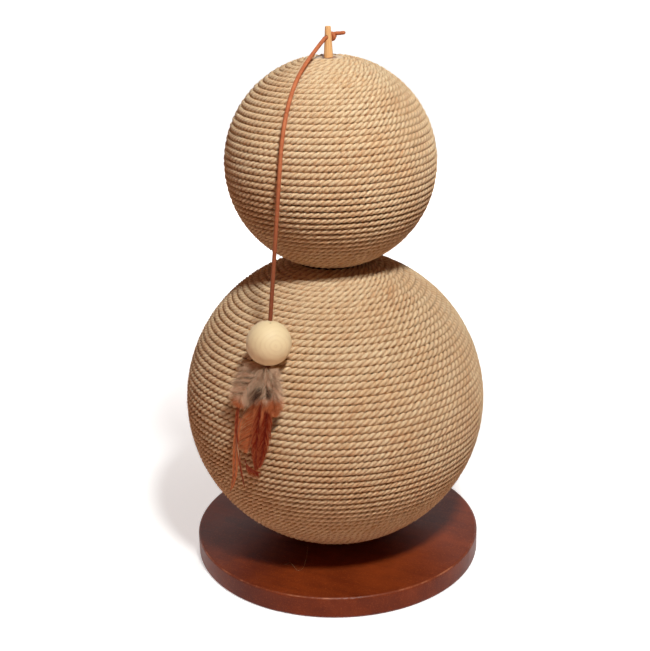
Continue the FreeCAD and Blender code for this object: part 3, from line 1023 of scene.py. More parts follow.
@dataclass
class ToyLace:
    """The leather lace: through the peg, down over the small ball and down to the bead.

    Its lengths run from the upper knot to the halfway point, and from there to the lower knot. Each of a
    knot's wraps has a tilt in radians, a share of the knot's reach, and a share of the lace's radius by
    which it lies further back. An unevenness is how much the thickness changes, and how fast.
    """

    knot_place: Point = (0.00084, 0.00363, 0.3495)
    mouth: Point = (-0.0006, -0.0026, 0.3495)
    route: Tuple[Point, ...] = (
        knot_place,
        mouth,
        (-0.0012, -0.0042, 0.3480),
        (-0.0018, -0.0079, 0.3460),
        (-0.0030, -0.0275, 0.3360),
        (-0.0020, -0.0438, 0.3265),
        (-0.0008, -0.0569, 0.3127),
        (0.0, -0.0658, 0.2959),
        (0.0, -0.0707, 0.2718),
        (0.0, -0.0934, 0.1660),
    )
    tail_route: Tuple[Point, ...] = (
        (0.0012, 0.0042, 0.3506),
        (0.0036, 0.0040, 0.3514),
        (0.0066, 0.0037, 0.3515),
        (0.0099, 0.0036, 0.3521),
    )
    diameter: float = 2.5 * MM
    upper_length: float = 0.072
    lower_length: float = 0.152
    halfway: Point = (-0.0009, -0.0569, 0.3127)
    clear_of_peg: Point = (-0.0020, -0.0130, 0.3436)
    above_pivot: Point = (0.0, -0.0657, 0.2943)
    below_pivot: Point = (0.0, -0.0700, 0.2745)
    sides: int = 16
    unevenness: Pair = (0.015, 240.0)
    tail_taper: float = 0.12
    tail_rounding: Tuple[float, ...] = (0.45, 0.75, 0.92)
    knot_radius: float = 3.0 * MM
    knot_lace: float = 0.42
    knot_wraps: Tuple[Point, ...] = ((0.10, 1.0, 0.0), (-0.45, 0.72, 0.9))
    knot_steps: int = 40
    knot_sides: int = 12
    knot_unevenness: Pair = (0.06, 420.0)

    def stretch(self, name: str, points: List[Vector]) -> bpy.types.Object:
        """Make a stretch of the lace, a little uneven in thickness.

        Args:
            name: The piece's name.
            points: The line that it follows.

        Returns:
            The stretch.
        """
        amount, pace = self.unevenness
        sizes = [self.diameter / 2 * (1 + amount * noise.noise(point * pace)) for point in points]
        return sweep(name, [Line(points, sizes)], round_outline(self.sides))

    def knot(self, name: str, place: Point, axis: Vector) -> bpy.types.Object:
        """Make a knot pulled tight: a wrap round the lace, with a second one crossing behind it.

        Args:
            name: The piece's name.
            place: Its middle.
            axis: The way that the lace goes through it.

        Returns:
            The knot.
        """
        facing = axis.to_track_quat("Z", "Y").to_matrix()
        lace = self.knot_lace * self.knot_radius
        amount, pace = self.knot_unevenness
        lines = []
        for tilt, reach_share, back_share in self.knot_wraps:
            reach, back = reach_share * (self.knot_radius - lace), back_share * lace
            points = []
            for index in range(self.knot_steps):
                turn = TURN * index / self.knot_steps
                x, y = reach * math.cos(turn), reach * math.sin(turn)
                spot = Vector((x, y * math.cos(tilt), y * math.sin(tilt) - back))
                points.append(Vector(place) + facing @ spot)
            sizes = [lace * (1 + amount * noise.noise(point * pace)) for point in points]
            lines.append(Line(points, sizes, closed=True))
        return sweep(name, lines, round_outline(self.knot_sides))

    def tail(self) -> bpy.types.Object:
        """Make the cut end beside the knot, rounded off.

        Returns:
            The tail.
        """
        points = smooth_line(self.tail_route)
        last = len(points) - 1
        sizes = [self.diameter / 2 * (1 - self.tail_taper * index / last) for index in range(last + 1)]
        for back, share in enumerate(self.tail_rounding):
            sizes[last - back] *= share
        return sweep("lace_tail", [Line(points, sizes)], round_outline(self.sides))

    def build(self) -> None:
        """Make the lace, its knots and its tail, and tie them to their bodies."""
        leather = LaceFinish().material()
        line = smooth_line(self.route)
        middle = min(range(len(line)), key=lambda index: (line[index] - Vector(self.halfway)).length)
        upper_line, lower_line = line[:middle + 1], line[middle:]
        upper = self.stretch("lace_upper", upper_line)
        lower = self.stretch("lace_lower", lower_line)
        peg_knot = self.knot("lace_knot", self.knot_place, Vector(self.mouth) - Vector(self.knot_place))
        bead_knot = self.knot("bead_knot_tie", BEAD_KNOT, line[-1] - line[-2])
        tail = self.tail()
        for piece in (upper, lower, peg_knot, tail, bead_knot):
            dressed(piece, leather)
            LOG.info("lace: %s", piece.name)
        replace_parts(upper, "cord_in_peg", "cord_lead")
        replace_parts(lower, "cord_drop")
        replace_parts(peg_knot, "peg_knot")
        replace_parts(tail, "cord_tail")
        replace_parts(bead_knot, "bead_knot")
        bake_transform(upper)
        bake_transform(lower)
        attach(peg_knot, "stand")
        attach(tail, "stand")
        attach(bead_knot, "drop")


class Station(NamedTuple):
    """A place on a winding: its turns from the start, its point, the rope's radius and the rope's twist."""

    turns: float
    point: Vector
    size: float
    twist: float


@dataclass(frozen=True)
class Waver:
    """One way in which laid rope varies: by how much, how often in a metre, and along which noise."""

    amount: float
    pace: float
    kind: float


@dataclass(frozen=True)
class HairHabit:
    """How stray hairs stand off the rope.

    The margins are degrees left free at the lowest and highest rows, and the spread is in radians to either
    side of the rope's run. Lengths and radii are in millimetres. Each of a hair's parts is a share of its
    length with a share of its thickness. Long hairs are a share of all.
    """

    margins: Pair = (3.0, 4.0)
    spread: float = 1.1
    lengths: Pair = (1.0, 3.4)
    long_share: float = 0.05
    long_factor: float = 2.0
    lift: float = 0.34
    lift_shape: Pair = (1.6, 0.8)
    curl: float = 0.35
    root_depth: float = 0.4 * MM
    radii: Pair = (0.03, 0.055)
    parts: Tuple[Pair, ...] = ((0.0, 1.0), (0.35, 1.0), (0.7, 0.8), (1.0, 0.35))
    sides: int = 3


@dataclass
class RopeBall:
    """One ball's winding: a rope of twisted strands laid as a level spiral, with stray hairs.

    Low, high and the lay's change are latitudes in degrees. A lay is the rope's length for one turn of its
    strands, and full is its thickness against the pitch, above and below the change. The lowest rows are
    slimmer. Start and back are shares of a turn: where the rope begins, and where its bands meet. The slim
    and change ranges are in radians, and the slack, the sag and the tuck's depth in millimetres.
    """

    name: str
    bands: Tuple[str, ...]
    height: float
    radius: float
    pitch: float
    low: float
    high: float
    lay_above: float
    lay_below: float
    lay_change: float
    full_above: float
    full_below: float
    start: float
    hairs: int
    seed: int
    rings: int = 9
    strands: int = 3
    lobe: float = 0.575
    lobe_offset: float = 0.425
    lobe_steps: Tuple[float, ...] = (0.0, 0.24, 0.5, 0.76)
    back: float = 0.32
    slim: float = 0.09
    slim_range: Pair = (-1.0, -0.5)
    change_range: Pair = (-0.45, 0.2)
    tuck: float = 22.0 * MM
    tuck_depth: float = 1.4
    tuck_thinning: float = 0.4
    slack: float = 0.10
    slack_pace: float = 22.0
    sag: float = 0.06
    even_size: float = 0.98
    sway: Waver = Waver(amount=0.10, pace=55.0, kind=3.0)
    swelling: Waver = Waver(amount=0.04, pace=90.0, kind=9.0)
    loose_lay: Waver = Waver(amount=0.26, pace=24.0, kind=0.0)
    lumps: Tuple[Pair, ...] = ((2.4 * MM, 0.42 * MM), (0.9 * MM, 0.24 * MM))
    hair_habit: HairHabit = HairHabit()

    def section(self) -> bpy.types.Object:
        """Make the rope's section: strands pressed together, a groove between each two.

        Returns:
            The section.
        """
        points = []
        for strand in range(self.strands):
            for share in self.lobe_steps:
                away = (share - 0.5) * TURN / self.strands
                half = math.sqrt(self.lobe ** 2 - (self.lobe_offset * math.sin(away)) ** 2)
                reach = self.lobe_offset * math.cos(away) + half
                turn = TURN * (strand + share) / self.strands
                points.append((reach * math.cos(turn), reach * math.sin(turn)))
        return outline(points)

    def place(self, latitude: float, turn: float, out: float) -> Vector:
        """Find a point over the ball.

        Args:
            latitude: Its latitude in radians.
            turn: How many turns it is round the ball.
            out: Its distance from the ball's centre.

        Returns:
            The point.
        """
        angle = TURN * turn
        flat, rise = out * math.cos(latitude), out * math.sin(latitude)
        return Vector((flat * math.cos(angle), flat * math.sin(angle), self.height + rise))

    def wavering(self, waver: Waver, travelled: float) -> float:
        """Return how much the rope varies in one way at a distance along it."""
        return waver.amount * noise.noise(Vector((travelled * waver.pace, self.seed, waver.kind)))

    def thickness(self, latitude: float) -> float:
        """Return the rope's even radius at a latitude.

        Args:
            latitude: The latitude in radians.

        Returns:
            The radius.
        """
        change = math.radians(self.lay_change)
        before, after = self.change_range
        upper = step(latitude, change + before, change + after)
        lean = self.slim * (1 - step(latitude, *self.slim_range))
        return self.pitch / 2 * (self.full_below - lean + (self.full_above - self.full_below) * upper)

    def spiral(self) -> List[Station]:
        """Lay the whole winding, whose upper end is tucked in.

        Returns:
            Its stations, from the lowest row up.
        """
        middle = self.radius - self.pitch / 2
        climb = self.pitch / middle
        latitude, end = math.radians(self.low), math.radians(self.high)
        turns, twist, travelled, stations = 0.0, 0.0, 0.0, []
        while latitude < end:
            thick = self.thickness(latitude)
            lay = self.lay_above if latitude > math.radians(self.lay_change) else self.lay_below
            left = (end - latitude) / climb * TURN * middle * math.cos(latitude)
            tucked = 1 - step(left, 0.0, self.tuck)
            slack = noise.noise(self.place(latitude, turns, middle) * self.slack_pace)
            aside = (self.slack * slack + self.wavering(self.sway, travelled)) * MM / middle
            swelling = self.even_size + self.wavering(self.swelling, travelled)
            size = thick * swelling * (1 - self.tuck_thinning * tucked)
            out = self.radius - thick + (self.sag * (slack - 1) - self.tuck_depth * tucked) * MM
            point = self.place(latitude + aside, turns + self.start, out)
            stations.append(Station(turns, point, size, twist))
            twist -= TURN / self.rings * (1 + self.wavering(self.loose_lay, travelled))
            pace = lay / self.rings
            travelled += pace
            turns += pace / (TURN * middle * math.cos(latitude))
            latitude = math.radians(self.low) + climb * turns
        return stations

    def ropes(self, sisal: bpy.types.Material) -> None:
        """Make the winding's bands, which go on into each other at the back.

        Args:
            sisal: The rope's material.
        """
        stations = self.spiral()
        top = stations[-1].turns
        share = top / len(self.bands)
        cuts = [round(share * index) + (self.back - self.start) % 1 for index in range(1, len(self.bands))]
        for band, low, high in zip(self.bands, [0.0] + cuts, cuts + [top]):
            inside = [index for index, station in enumerate(stations) if low <= station.turns <= high]
            run = stations[max(inside[0] - 1, 0):inside[-1] + 1]
            line = Line([station.point for station in run], [station.size for station in run],
                        [station.twist for station in run])
            rope = sweep(f"{band}_strands", [line], self.section(), Twist.UPRIGHT)
            for size, depth in self.lumps:
                rope = lumpy(rope, size, depth)
            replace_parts(dressed(rope, sisal), band)
            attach(rope, "stand")
            LOG.info("%s: %s, %.2f m of rope, %d faces", self.name, rope.name, line.length(),
                     len(rope.data.polygons))

    def hair(self, dice: random.Random) -> Line:
        """Grow one stray hair.

        Args:
            dice: What makes it differ from the next one.

        Returns:
            Its line.
        """
        habit = self.hair_habit
        lowest, highest = self.low + habit.margins[0], self.high - habit.margins[1]
        rise = dice.uniform(math.sin(math.radians(lowest)), math.sin(math.radians(highest)))
        latitude, turn = math.asin(rise), dice.random()
        out = self.place(latitude, turn, 1.0) - UP * self.height
        east = Vector((-out.y, out.x, 0.0)).normalized()
        north = out.cross(east)
        heading = dice.uniform(-habit.spread, habit.spread) + (math.pi if dice.random() < 0.5 else 0.0)
        along = east * math.cos(heading) + north * math.sin(heading)
        curl = out.cross(along) * dice.uniform(-1.0, 1.0)
        length = dice.uniform(*habit.lengths) * MM
        length *= habit.long_factor if dice.random() < habit.long_share else 1.0
        lift = dice.uniform(0.0, habit.lift)
        root = self.place(latitude, turn, self.radius - habit.root_depth)
        first, bend = habit.lift_shape
        points = [root + length * (along * part + out * (lift * part * (first - bend * part))
                                   + curl * (habit.curl * part * part)) for part, _ in habit.parts]
        thin = dice.uniform(*habit.radii) * MM
        return Line(points, [thin * share for _, share in habit.parts])

    def fuzz(self, hair: bpy.types.Material) -> None:
        """Make the stray hairs that stand off the rope.

        Args:
            hair: Their material.
        """
        dice = random.Random(self.seed)
        lines = [self.hair(dice) for _ in range(self.hairs)]
        piece = sweep(f"{self.name}_hairs", lines, round_outline(self.hair_habit.sides))
        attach(dressed(piece, hair), "stand")
        LOG.info("%s: %s, %d hairs", self.name, piece.name, self.hairs)

    def build(self, sisal: bpy.types.Material, hair: bpy.types.Material) -> None:
        """Make the winding and its hairs."""
        self.ropes(sisal)
        self.fuzz(hair)


BALLS = (
    RopeBall(
        name="big_ball", bands=("big_rope_lower", "big_rope_middle", "big_rope_upper"),
        height=112.0 * MM, radius=99.9 * MM, pitch=4.45 * MM, low=-75.19, high=77.8,
        lay_above=14.0 * MM, lay_below=11.7 * MM, lay_change=2.0, full_above=1.16, full_below=0.88,
        start=0.0, hairs=6000, seed=5),
    RopeBall(
        name="small_ball", bands=("small_rope_lower", "small_rope_upper"),
        height=272.0 * MM, radius=67.4 * MM, pitch=3.99 * MM, low=-69.6, high=80.82,
        lay_above=12.0 * MM, lay_below=12.0 * MM, lay_change=0.0, full_above=1.18, full_below=0.85,
        start=0.29, hairs=3000, seed=6),
)


@dataclass
class Stand:
    """Board, hidden post and cores, screw and washer, peg and glue.

    The profiles are radii and heights in millimetres, and the glue's lumps have a width and a depth.
    """

    glue_profile: Tuple[Pair, ...] = (
        (2.83, 335.6), (9.1, 335.6), (9.1, 336.9), (8.0, 337.6),
        (6.2, 337.1), (4.6, 336.6), (3.4, 336.8), (2.83, 337.4),
    )
    glue_steps: int = 64
    glue_lumps: Pair = (2.4 * MM, 0.5 * MM)
    screw_profile: Tuple[Pair, ...] = (
        (0.0, 1.0), (3.2, 1.0), (3.9, 1.25), (4.25, 1.9),
        (4.25, 4.0), (2.0, 4.0), (2.0, 41.0), (0.0, 44.0),
    )
    screw_steps: int = 48
    cross_size: Point = (4.8 * MM, 1.0 * MM, 3.2 * MM)
    cross_height: float = 0.9 * MM
    fibre_route: Tuple[Point, ...] = (
        (-0.0075, -0.0662, 0.01515),
        (-0.0067, -0.0635, 0.0152),
        (-0.0041, -0.0635, 0.0156),
        (0.0033, -0.0702, 0.0152),
        (0.0055, -0.0686, 0.0154),
        (0.0054, -0.0639, 0.0152),
        (0.0011, -0.0508, 0.0154),
        (-0.0043, -0.0384, 0.0152),
    )
    fibre_radius: float = 0.05 * MM
    fibre_sides: int = 4
    cores: Tuple[str, ...] = ("big_core_lower", "big_core_upper", "small_core_lower", "small_core_upper")
    peg_wood: WoodFinish = WoodFinish(
        "peg_wood_grain", pale=shade(234, 182, 124), dark=shade(208, 140, 86), centre=(0.004, 0.003, 0.0),
        spacing=1.1 * MM, roughness=0.5)
    post_wood: WoodFinish = WoodFinish(
        "post_wood_grain", pale=shade(226, 190, 140), dark=shade(192, 146, 96), centre=(0.012, 0.006, 0.0))

    def glue_ring(self) -> bpy.types.Object:
        """Make the uneven film of glue round the peg's foot.

        Returns:
            The ring.
        """
        ring = turned("glue_ring", self.glue_profile, self.glue_steps, closed=True)
        ring.data.shade_smooth()
        return lumpy(ring, *self.glue_lumps)

    def screw(self) -> bpy.types.Object:
        """Make the screw under the board, with a cross cut into its head.

        Returns:
            The screw.
        """
        screw = turned("cross_screw", self.screw_profile, self.screw_steps, closed=False)
        shape = bmesh.new()
        for turn in (0.0, math.pi / 2):
            matrix = (Matrix.Translation(UP * self.cross_height) @ Matrix.Rotation(turn, 4, "Z")
                      @ Matrix.Diagonal((*self.cross_size, 1.0)))
            bmesh.ops.create_cube(shape, size=1.0, matrix=matrix)
        cross = finished("cross", shape)
        cut = screw.modifiers.new("cross", "BOOLEAN")
        cut.object = cross
        cut.use_self = True
        screw = as_mesh(screw)
        bpy.data.objects.remove(cross)
        return screw

    def fallen_fibre(self) -> bpy.types.Object:
        """Make the single fibre that lies on the board.

        Returns:
            The fibre.
        """
        points = smooth_line(self.fibre_route)
        line = Line(points, [self.fibre_radius] * len(points))
        return sweep("fallen_fibre", [line], round_outline(self.fibre_sides))

    def build(self, hair: bpy.types.Material) -> None:
        """Dress the stand's CAD nodes and add the glue, the screw's cross and the fallen fibre.

        Args:
            hair: The fibre's material.
        """
        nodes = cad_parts
        dressed(nodes["base_board"], StainFinish().material())
        dressed(nodes["peg"], self.peg_wood.material())
        dressed(nodes["center_post"], self.post_wood.material())
        steel, foam = SteelFinish().material(), FoamFinish().material()
        dressed(nodes["screw_washer"], steel)
        for core in self.cores:
            dressed(nodes[core], foam)
        glue = dressed(self.glue_ring(), GlueFinish().material())
        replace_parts(glue, "glue_collar")
        screw = dressed(self.screw(), steel)
        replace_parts(screw, "base_screw")
        fibre = dressed(self.fallen_fibre(), hair)
        for piece in (glue, screw, fibre):
            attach(piece, "stand")
            LOG.info("stand: %s", piece.name)


@dataclass
class Bead:
    """The turned wooden bead: its rings' axis comes out at its front, below a small nick."""

    wood: WoodFinish = WoodFinish(
        "bead_wood_grain", pale=shade(236, 211, 168), dark=shade(214, 178, 132),
        centre=(0.0095, -0.0994, 0.1843), axis=(0.444, -0.819, 0.363), spacing=2.7 * MM, contrast=0.25,
        roughness=0.5, nick=(0.0022, -0.0911, 0.1952))

    def build(self) -> None:
        """Dress the bead's CAD node."""
        dressed(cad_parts["bead"], self.wood.material())
        LOG.info("bead: turned and ringed")


class Coat(Enum):
    """A kind of feather, by how its barbs grow."""

    HACKLE = "hackle"
    BROAD = "broad"
    DOWNY = "downy"


@dataclass(frozen=True)
class Habit:
    """How barbs grow: how close, at what turn from the shaft at root and end, how even, thick and puffed.

    They start at the first share of the feather's length, and the vane is full from the swell to the taper,
    which are shares too. The shaft is as thick as given at its root, and shows as far as its own share.
    """

    spacing: float
    turn: Pair
    scatter: float
    thick: float
    puff: float
    first: float
    swell: float
    taper: float
    shaft: float
    shaft_share: float


HABITS = {
    Coat.HACKLE: Habit(
        spacing=0.24 * MM, turn=(30.0, 8.0), scatter=5.0, thick=0.14 * MM, puff=0.05,
        first=0.16, swell=0.26, taper=0.55, shaft=0.26 * MM, shaft_share=1.0),
    Coat.BROAD: Habit(
        spacing=0.17 * MM, turn=(48.0, 32.0), scatter=3.5, thick=0.12 * MM, puff=0.05,
        first=0.22, swell=0.45, taper=0.70, shaft=0.26 * MM, shaft_share=1.0),
    Coat.DOWNY: Habit(
        spacing=0.035 * MM, turn=(66.0, 28.0), scatter=24.0, thick=0.055 * MM, puff=0.55,
        first=0.0, swell=0.06, taper=0.60, shaft=0.2 * MM, shaft_share=0.6),
}


@dataclass(frozen=True)
class Growth:
    """How barbs differ from each other, whatever the coat.

    Clumps are so many in a metre, and differ on the two sides. A barb strays with its clump and by itself.
    It lifts off the vane more at its root than at its end, its length varies, and it thins towards its end.
    """

    clumps: float = 420.0
    sides_apart: float = 5.0
    clump_stray: float = 0.7
    strays: Pair = (-0.5, 0.5)
    lifts: Pair = (-0.5, 1.0)
    end_lift: float = 0.2
    end_sink: float = 0.05
    lengths: Pair = (0.78, 1.06)
    taper: float = 0.8


@dataclass(frozen=True)
class Dyeing:
    """How colour varies from barb to barb.

    Greys and rusts have a share that comes in clumps and one that is spread at random. The dye's border is
    as wide either way as its edge, wanders, and creeps along the barbs. Beyond it the dye grows from weak to
    full between two shares of the feather. Some grey barbs have a tint, and dyed ones fade at their tips.
    The bar of down fades in and out over the shares before and after its ends.
    """

    grey: float = 0.10
    grey_clumps: float = 0.62
    rust_clumps: float = 0.45
    spread: float = 0.2
    edge: float = 0.06
    wander: float = 0.05
    creep: float = 0.12
    weak: float = 0.4
    growth: Pair = (0.02, 0.2)
    tinted_share: float = 0.26
    tint: float = 0.5
    tip_fade: float = 0.18
    bar_in: Pair = (-0.12, 0.04)
    bar_out: Pair = (-0.02, 0.1)


@dataclass(frozen=True)
class Lashing:
    """Where the feathers are tied, and the directions that they hang by, with a lean in degrees."""

    knot: Point = BEAD_KNOT
    lean: float = 13.67

    def down(self) -> Vector:
        """Return the way that the feathers hang."""
        lean = math.radians(self.lean)
        return Vector((0.0, -math.sin(lean), -math.cos(lean)))

    def out(self) -> Vector:
        """Return the way off the ball."""
        lean = math.radians(self.lean)
        return Vector((0.0, -math.cos(lean), math.sin(lean)))

    def place(self, spot: Point) -> Vector:
        """Return a point from millimetres to the side, down and off the ball."""
        side, down, out = spot
        return Vector(self.knot) + (RIGHT * side + self.down() * down + self.out() * out) * MM


def bowed(root: Vector, first: Vector, last: Vector, length: float) -> List[Vector]:
    """Bend a barb or a hair of down from one direction to another.

    Args:
        root: Where it starts.
        first: Its direction there.
        last: Its direction at its end.
        length: Its length.

    Returns:
        Its points.
    """
    return [root + (first * (part - part * part / 2) + last * (part * part / 2)) * length
            for part in BARB_PARTS]


@dataclass(frozen=True)
class Feather:
    """One feather: a bowed shaft with barbs on both sides.

    The path has four points in the lashing's millimetres, and the reach gives the vane's left and right
    widths. The dye starts at a share of the length, the depth says how dark it is, and the bar is a dark
    patch of down: from, to and how dark. The shaft is as dark red as the quill says, with a painted glint
    that pales it about one share, if any. A feather without a node is loose, in the scene alone.
    """

    name: str
    coat: Coat
    path: Tuple[Point, Point, Point, Point]
    reach: Pair
    dyed_from: float
    depth: float
    quill: float
    seed: int
    node: str = ""
    bar: Point = (0.0, 1.0, 0.0)
    # Where the shaft's painted glint lies, as a share of its length; none below 0.
    worn: float = -1.0
    worn_reach: float = 0.08
    worn_paling: float = 0.9
    shaft_steps: int = 24
    shaft_taper: float = 0.5
    shaft_raise: float = 0.12 * MM
    root_width: float = 0.35
    tip_loss: float = 0.9
    tip_power: float = 1.8
    lashing: Lashing = Lashing()
    growth: Growth = Growth()
    dyeing: Dyeing = Dyeing()

    def at(self, share: float) -> Vector:
        """Find a point of the shaft.

        Args:
            share: Its share of the length, from the root.

        Returns:
            The point.
        """
        rest = 1 - share
        weights = (rest ** 3, 3 * rest ** 2 * share, 3 * rest * share ** 2, share ** 3)
        spots = [self.lashing.place(spot) * weight for spot, weight in zip(self.path, weights)]
        return sum(spots, Vector())

    def axes(self, share: float, nudge: float = 0.01) -> Tuple[Vector, Vector]:
        """Return the shaft's heading at a share of its length, and the way to its right."""
        heading = (self.at(min(1.0, share + nudge)) - self.at(max(0.0, share - nudge))).normalized()
        return heading, self.lashing.out().cross(heading).normalized()

    def length(self, steps: int = 20) -> float:
        """Return the shaft's length, measured in so many steps."""
        places = [self.at(index / steps) for index in range(steps + 1)]
        return sum((after - before).length for before, after in zip(places, places[1:]))

    def fullness(self, share: float) -> float:
        """Find how wide the vane is against its widest.

        Args:
            share: Where, as a share of the shaft.

        Returns:
            The width, from 0 to 1.
        """
        habit = HABITS[self.coat]
        rise = self.root_width + (1 - self.root_width) * step(share, 0.0, habit.swell)
        fall = max(0.0, (share - habit.taper) / (1 - habit.taper))
        return rise * (1 - self.tip_loss * fall ** self.tip_power)

    def shaft(self) -> Line:
        """Draw the shaft.

        Returns:
            Its line, marked with its colour.
        """
        habit = HABITS[self.coat]
        shares = [habit.shaft_share * index / self.shaft_steps for index in range(self.shaft_steps + 1)]
        # Painted glint: the shaft is paled about one share.
        glint = [max(0.0, 1 - abs(share - self.worn) / self.worn_reach) for share in shares]
        points = [self.at(share) + self.lashing.out() * self.shaft_raise for share in shares]
        sizes = [habit.shaft * (1 - self.shaft_taper * share) for share in shares]
        deep = [self.quill * (1 - self.worn_paling * spot) for spot in glint]
        return Line(points, sizes, marks={"deep": deep})

    def barb_points(self, share: float, hand: float, reach: float, clump: float,
                    dice: random.Random) -> List[Vector]:
        """Bend one barb away from the shaft.

        Args:
            share: Where its root is, as a share of the shaft.
            hand: -1 on the left, 1 on the right.
            reach: How far the vane goes on that side at its widest.
            clump: How its clump differs, from about -1 to 1.
            dice: What makes it differ from the next one.

        Returns:
            Its points.
        """
        habit, growth, out = HABITS[self.coat], self.growth, self.lashing.out()
        heading, side = self.axes(share)
        stray = habit.scatter * (growth.clump_stray * clump + dice.uniform(*growth.strays))
        leans = [math.radians(turn + stray) for turn in habit.turn]
        lift = habit.puff * dice.uniform(*growth.lifts)
        first, last = (heading * math.cos(lean) + side * (hand * math.sin(lean)) for lean in leans)
        first, last = first + out * lift, last + out * (growth.end_lift * lift - growth.end_sink)
        lateral = sum(math.sin(math.radians(turn)) for turn in habit.turn) / 2
        length = reach * self.fullness(share) / lateral * dice.uniform(*growth.lengths)
        return bowed(self.at(share), first, last, length)

    def barb_marks(self, share: float, clump: float, dice: random.Random) -> Dict[str, List[float]]:
        """Colour one barb.

        Args:
            share: Where its root is, as a share of the shaft.
            clump: How its clump differs, from about -1 to 1.
            dice: What makes it differ from the next one.

        Returns:
            Its dye, and how deep its colour is, along it.
        """
        ways, border = self.dyeing, self.dyed_from
        jitter = dice.uniform(-ways.wander, ways.wander)
        low, high, strength = self.bar
        entry = step(share, low + ways.bar_in[0], low + ways.bar_in[1])
        dark = strength * entry * (1 - step(share, high + ways.bar_out[0], high + ways.bar_out[1]))
        grey = ways.grey + ways.grey_clumps * clump + dice.uniform(-ways.spread, ways.spread) + dark
        grown = step(share, border + ways.growth[0], border + ways.growth[1])
        rich = self.depth * (ways.weak + (1 - ways.weak) * grown)
        rust = rich + ways.rust_clumps * clump + dice.uniform(-ways.spread, ways.spread)
        tint = ways.tint if dice.random() < ways.tinted_share else 0.0
        dye = [max(tint, step(share + ways.creep * part + jitter, border - ways.edge, border + ways.edge))
               for part in BARB_PARTS]
        deep = [(1 - dyed) * grey + dyed * (rust - ways.tip_fade * part)
                for dyed, part in zip(dye, BARB_PARTS)]
        return {"dye": dye, "deep": deep}

    def barb(self, share: float, hand: float, reach: float, dice: random.Random) -> Line:
        """Draw one barb.

        Args:
            share: Where its root is, as a share of the shaft.
            hand: -1 on the left, 1 on the right.
            reach: How far the vane goes on that side at its widest.
            dice: What makes it differ from the next one.

        Returns:
            Its line, marked with its dye and how deep its colour is.
        """
        thick, growth = HABITS[self.coat].thick, self.growth
        along, across = share * self.length() * growth.clumps, hand * growth.sides_apart
        clump = noise.noise(Vector((along, across, self.seed)))
        points = self.barb_points(share, hand, reach, clump, dice)
        sizes = [thick * (1 - growth.taper * part ** 2) for part in BARB_PARTS]
        return Line(points, sizes, marks=self.barb_marks(share, clump, dice))

    def barbs(self) -> List[Line]:
        """Draw the barbs of both sides.

        Returns:
            Their lines.
        """
        habit = HABITS[self.coat]
        dice = random.Random(self.seed)
        vane = 1 - habit.first
        count = int(self.length() * vane / habit.spacing)
        return [self.barb(habit.first + vane * (index + dice.random()) / count, hand, reach * MM, dice)
                for hand, reach in zip((-1.0, 1.0), self.reach) for index in range(count)]


@dataclass(frozen=True)
class DownCollar:
    """The short down that hides the knot under the bead.

    It stands round the front half of the knot and a little past it, by an overlap in radians. Heights, roots
    and lengths are in millimetres. Rises and flares say how far a hair goes up at its root and out at its
    end. Its tone changes in patches round the knot, and from hair to hair.
    """

    hairs: int = 700
    seed: int = 23
    overlap: float = 0.4
    heights: Pair = (-2.2, 2.0)
    roots: Pair = (1.6, 3.0)
    rises: Pair = (-0.3, 0.15)
    flares: Pair = (0.1, 0.9)
    lengths: Pair = (5.0, 11.0)
    radius: float = 0.05 * MM
    taper: float = 0.7
    dyed_share: float = 0.12
    dye: float = 0.8
    tone: float = 0.25
    patches: float = 0.4
    patch_pace: float = 3.0
    patch_kind: float = 4.0
    spread: Pair = (-0.15, 0.25)
    lashing: Lashing = Lashing()

    def lines(self) -> List[Line]:
        """Draw the down.

        Returns:
            Its lines, marked as barbs are.
        """
        dice = random.Random(self.seed)
        down, out = self.lashing.down(), self.lashing.out()
        sizes = [self.radius * (1 - self.taper * part) for part in BARB_PARTS]
        lines = []
        for _ in range(self.hairs):
            bearing = dice.uniform(-self.overlap, math.pi + self.overlap)
            away = RIGHT * math.cos(bearing) + out * math.sin(bearing)
            height, reach = dice.uniform(*self.heights), dice.uniform(*self.roots)
            root = self.lashing.place((0.0, height, 0.0)) + away * (reach * MM)
            first = away - down * dice.uniform(*self.rises)
            last = down + away * dice.uniform(*self.flares)
            points = bowed(root, first, last, dice.uniform(*self.lengths) * MM)
            dye = self.dye if dice.random() < self.dyed_share else 0.0
            patch = noise.noise(Vector((bearing * self.patch_pace, 0.0, self.patch_kind)))
            tone = self.tone + self.patches * patch + dice.uniform(*self.spread)
            marks = {"dye": [dye] * len(sizes), "deep": [tone] * len(sizes)}
            lines.append(Line(points, sizes, marks=marks))
        return lines


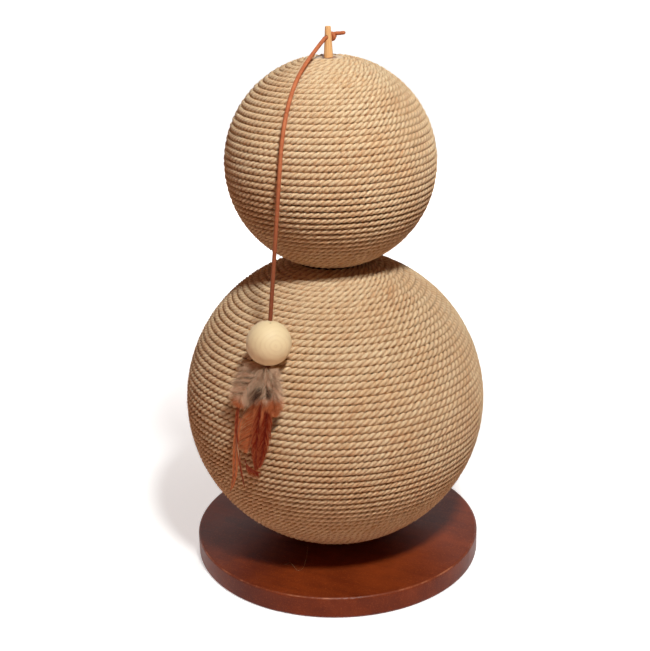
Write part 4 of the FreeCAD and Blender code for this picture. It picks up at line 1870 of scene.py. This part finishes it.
@dataclass
class Plume:
    """The bunch of dyed feathers under the bead, with its grey down."""

    feathers: Tuple[Feather, ...] = (
        # long_left carries a painted glint on its shaft.
        Feather(
            "long_left", Coat.HACKLE, path=((0, 1, 0), (-25, 15, 1), (-18, 46, 1.5), (-10.5, 75, -2.5)),
            reach=(1.5, 0.9), dyed_from=0.22, depth=0.75, quill=0.95, seed=11, node="feather_long_left",
            worn=0.75),
        Feather(
            "long_middle", Coat.HACKLE, path=((0, 1, 0), (-3, 18, 1), (-3, 42, 1.5), (-3.2, 62.5, -1.5)),
            reach=(4.0, 4.6), dyed_from=0.28, depth=0.78, quill=0.95, seed=12, node="feather_long_middle"),
        Feather(
            "broad_left", Coat.BROAD, path=((0, 1, 0), (-1, 18, 0), (-4, 34, 0), (-10, 53, -2)),
            reach=(11.0, 1.6), dyed_from=0.34, depth=0.34, quill=0.7, seed=13, node="feather_broad_left"),
        Feather(
            "short_right", Coat.HACKLE, path=((0, 1, 0), (4.5, 14, 1.5), (4, 40, 2), (-0.6, 60, -1)),
            reach=(4.8, 3.6), dyed_from=0.28, depth=0.80, quill=1.0, seed=14, node="feather_short_right"),
        Feather(
            "down_left", Coat.DOWNY, path=((0, -1.5, 0.5), (-7, 4, 3), (-13, 11, 3), (-17, 25, 2)),
            reach=(9.0, 8.5), dyed_from=0.92, depth=0.2, quill=0.75, seed=15, node="feather_down_left",
            bar=(0.25, 0.6, 0.25)),
        Feather(
            "down_right", Coat.DOWNY, path=((0, -1.5, 0.5), (4.5, 3.5, 3), (8, 11, 3.5), (9, 27, 2.5)),
            reach=(7.5, 7.0), dyed_from=0.78, depth=0.25, quill=0.75, seed=16, node="feather_down_right",
            bar=(0.25, 0.45, 0.15)),
        Feather(
            "down_middle", Coat.DOWNY, path=((0, -1, 1), (0.4, 6, 3.5), (1.2, 12, 4.5), (2.2, 17.5, 4)),
            reach=(9.0, 5.0), dyed_from=0.98, depth=0.3, quill=0.0, seed=17, node="feather_down_middle",
            bar=(0.48, 0.95, 0.85)),
        Feather(
            "slim_barbs", Coat.HACKLE, path=((-9, 22, 0.5), (-24, 40, 0.5), (-12, 64, 0), (-21, 79.5, -3.5)),
            reach=(2.1, 1.8), dyed_from=0.0, depth=0.35, quill=0.7, seed=18),
        Feather(
            "curled_barbs", Coat.HACKLE,
            path=((-10, 57, 0.5), (-9, 61.5, 0.5), (-5, 63.5, 0.5), (-0.8, 64, 0.2)),
            reach=(2.2, 2.6), dyed_from=0.0, depth=0.85, quill=0.95, seed=19),
    )
    collar: DownCollar = DownCollar()
    barb_sides: int = 3
    shaft_sides: int = 6

    def build(self) -> None:
        """Make every feather, the shafts and the collar of down."""
        plumage, quill = PlumageFinish().material(), QuillFinish().material()
        for feather in self.feathers:
            vane = sweep(f"{feather.name}_vane", feather.barbs(), round_outline(self.barb_sides))
            dressed(vane, plumage)
            if feather.node:
                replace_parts(vane, feather.node)
            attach(vane, "plume")
            LOG.info("plume: %s, %d faces", vane.name, len(vane.data.polygons))
        lines = [feather.shaft() for feather in self.feathers]
        shafts = sweep("feather_shafts", lines, round_outline(self.shaft_sides))
        collar = sweep("down_collar", self.collar.lines(), round_outline(self.barb_sides))
        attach(dressed(shafts, quill), "plume")
        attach(dressed(collar, plumage), "plume")
        LOG.info("plume: %s and %s", shafts.name, collar.name)


def main() -> None:
    """Build the studio and then the object, piece by piece."""
    logging.basicConfig(level=logging.INFO, format="%(name)s %(message)s")
    Studio().build()
    ToyLace().build()
    sisal, hair = SisalFinish().material(), StrayFibreFinish().material()
    for ball in BALLS:
        ball.build(sisal, hair)
    Stand().build(hair)
    Bead().build()
    Plume().build()


if __name__ == "__main__":
    main()
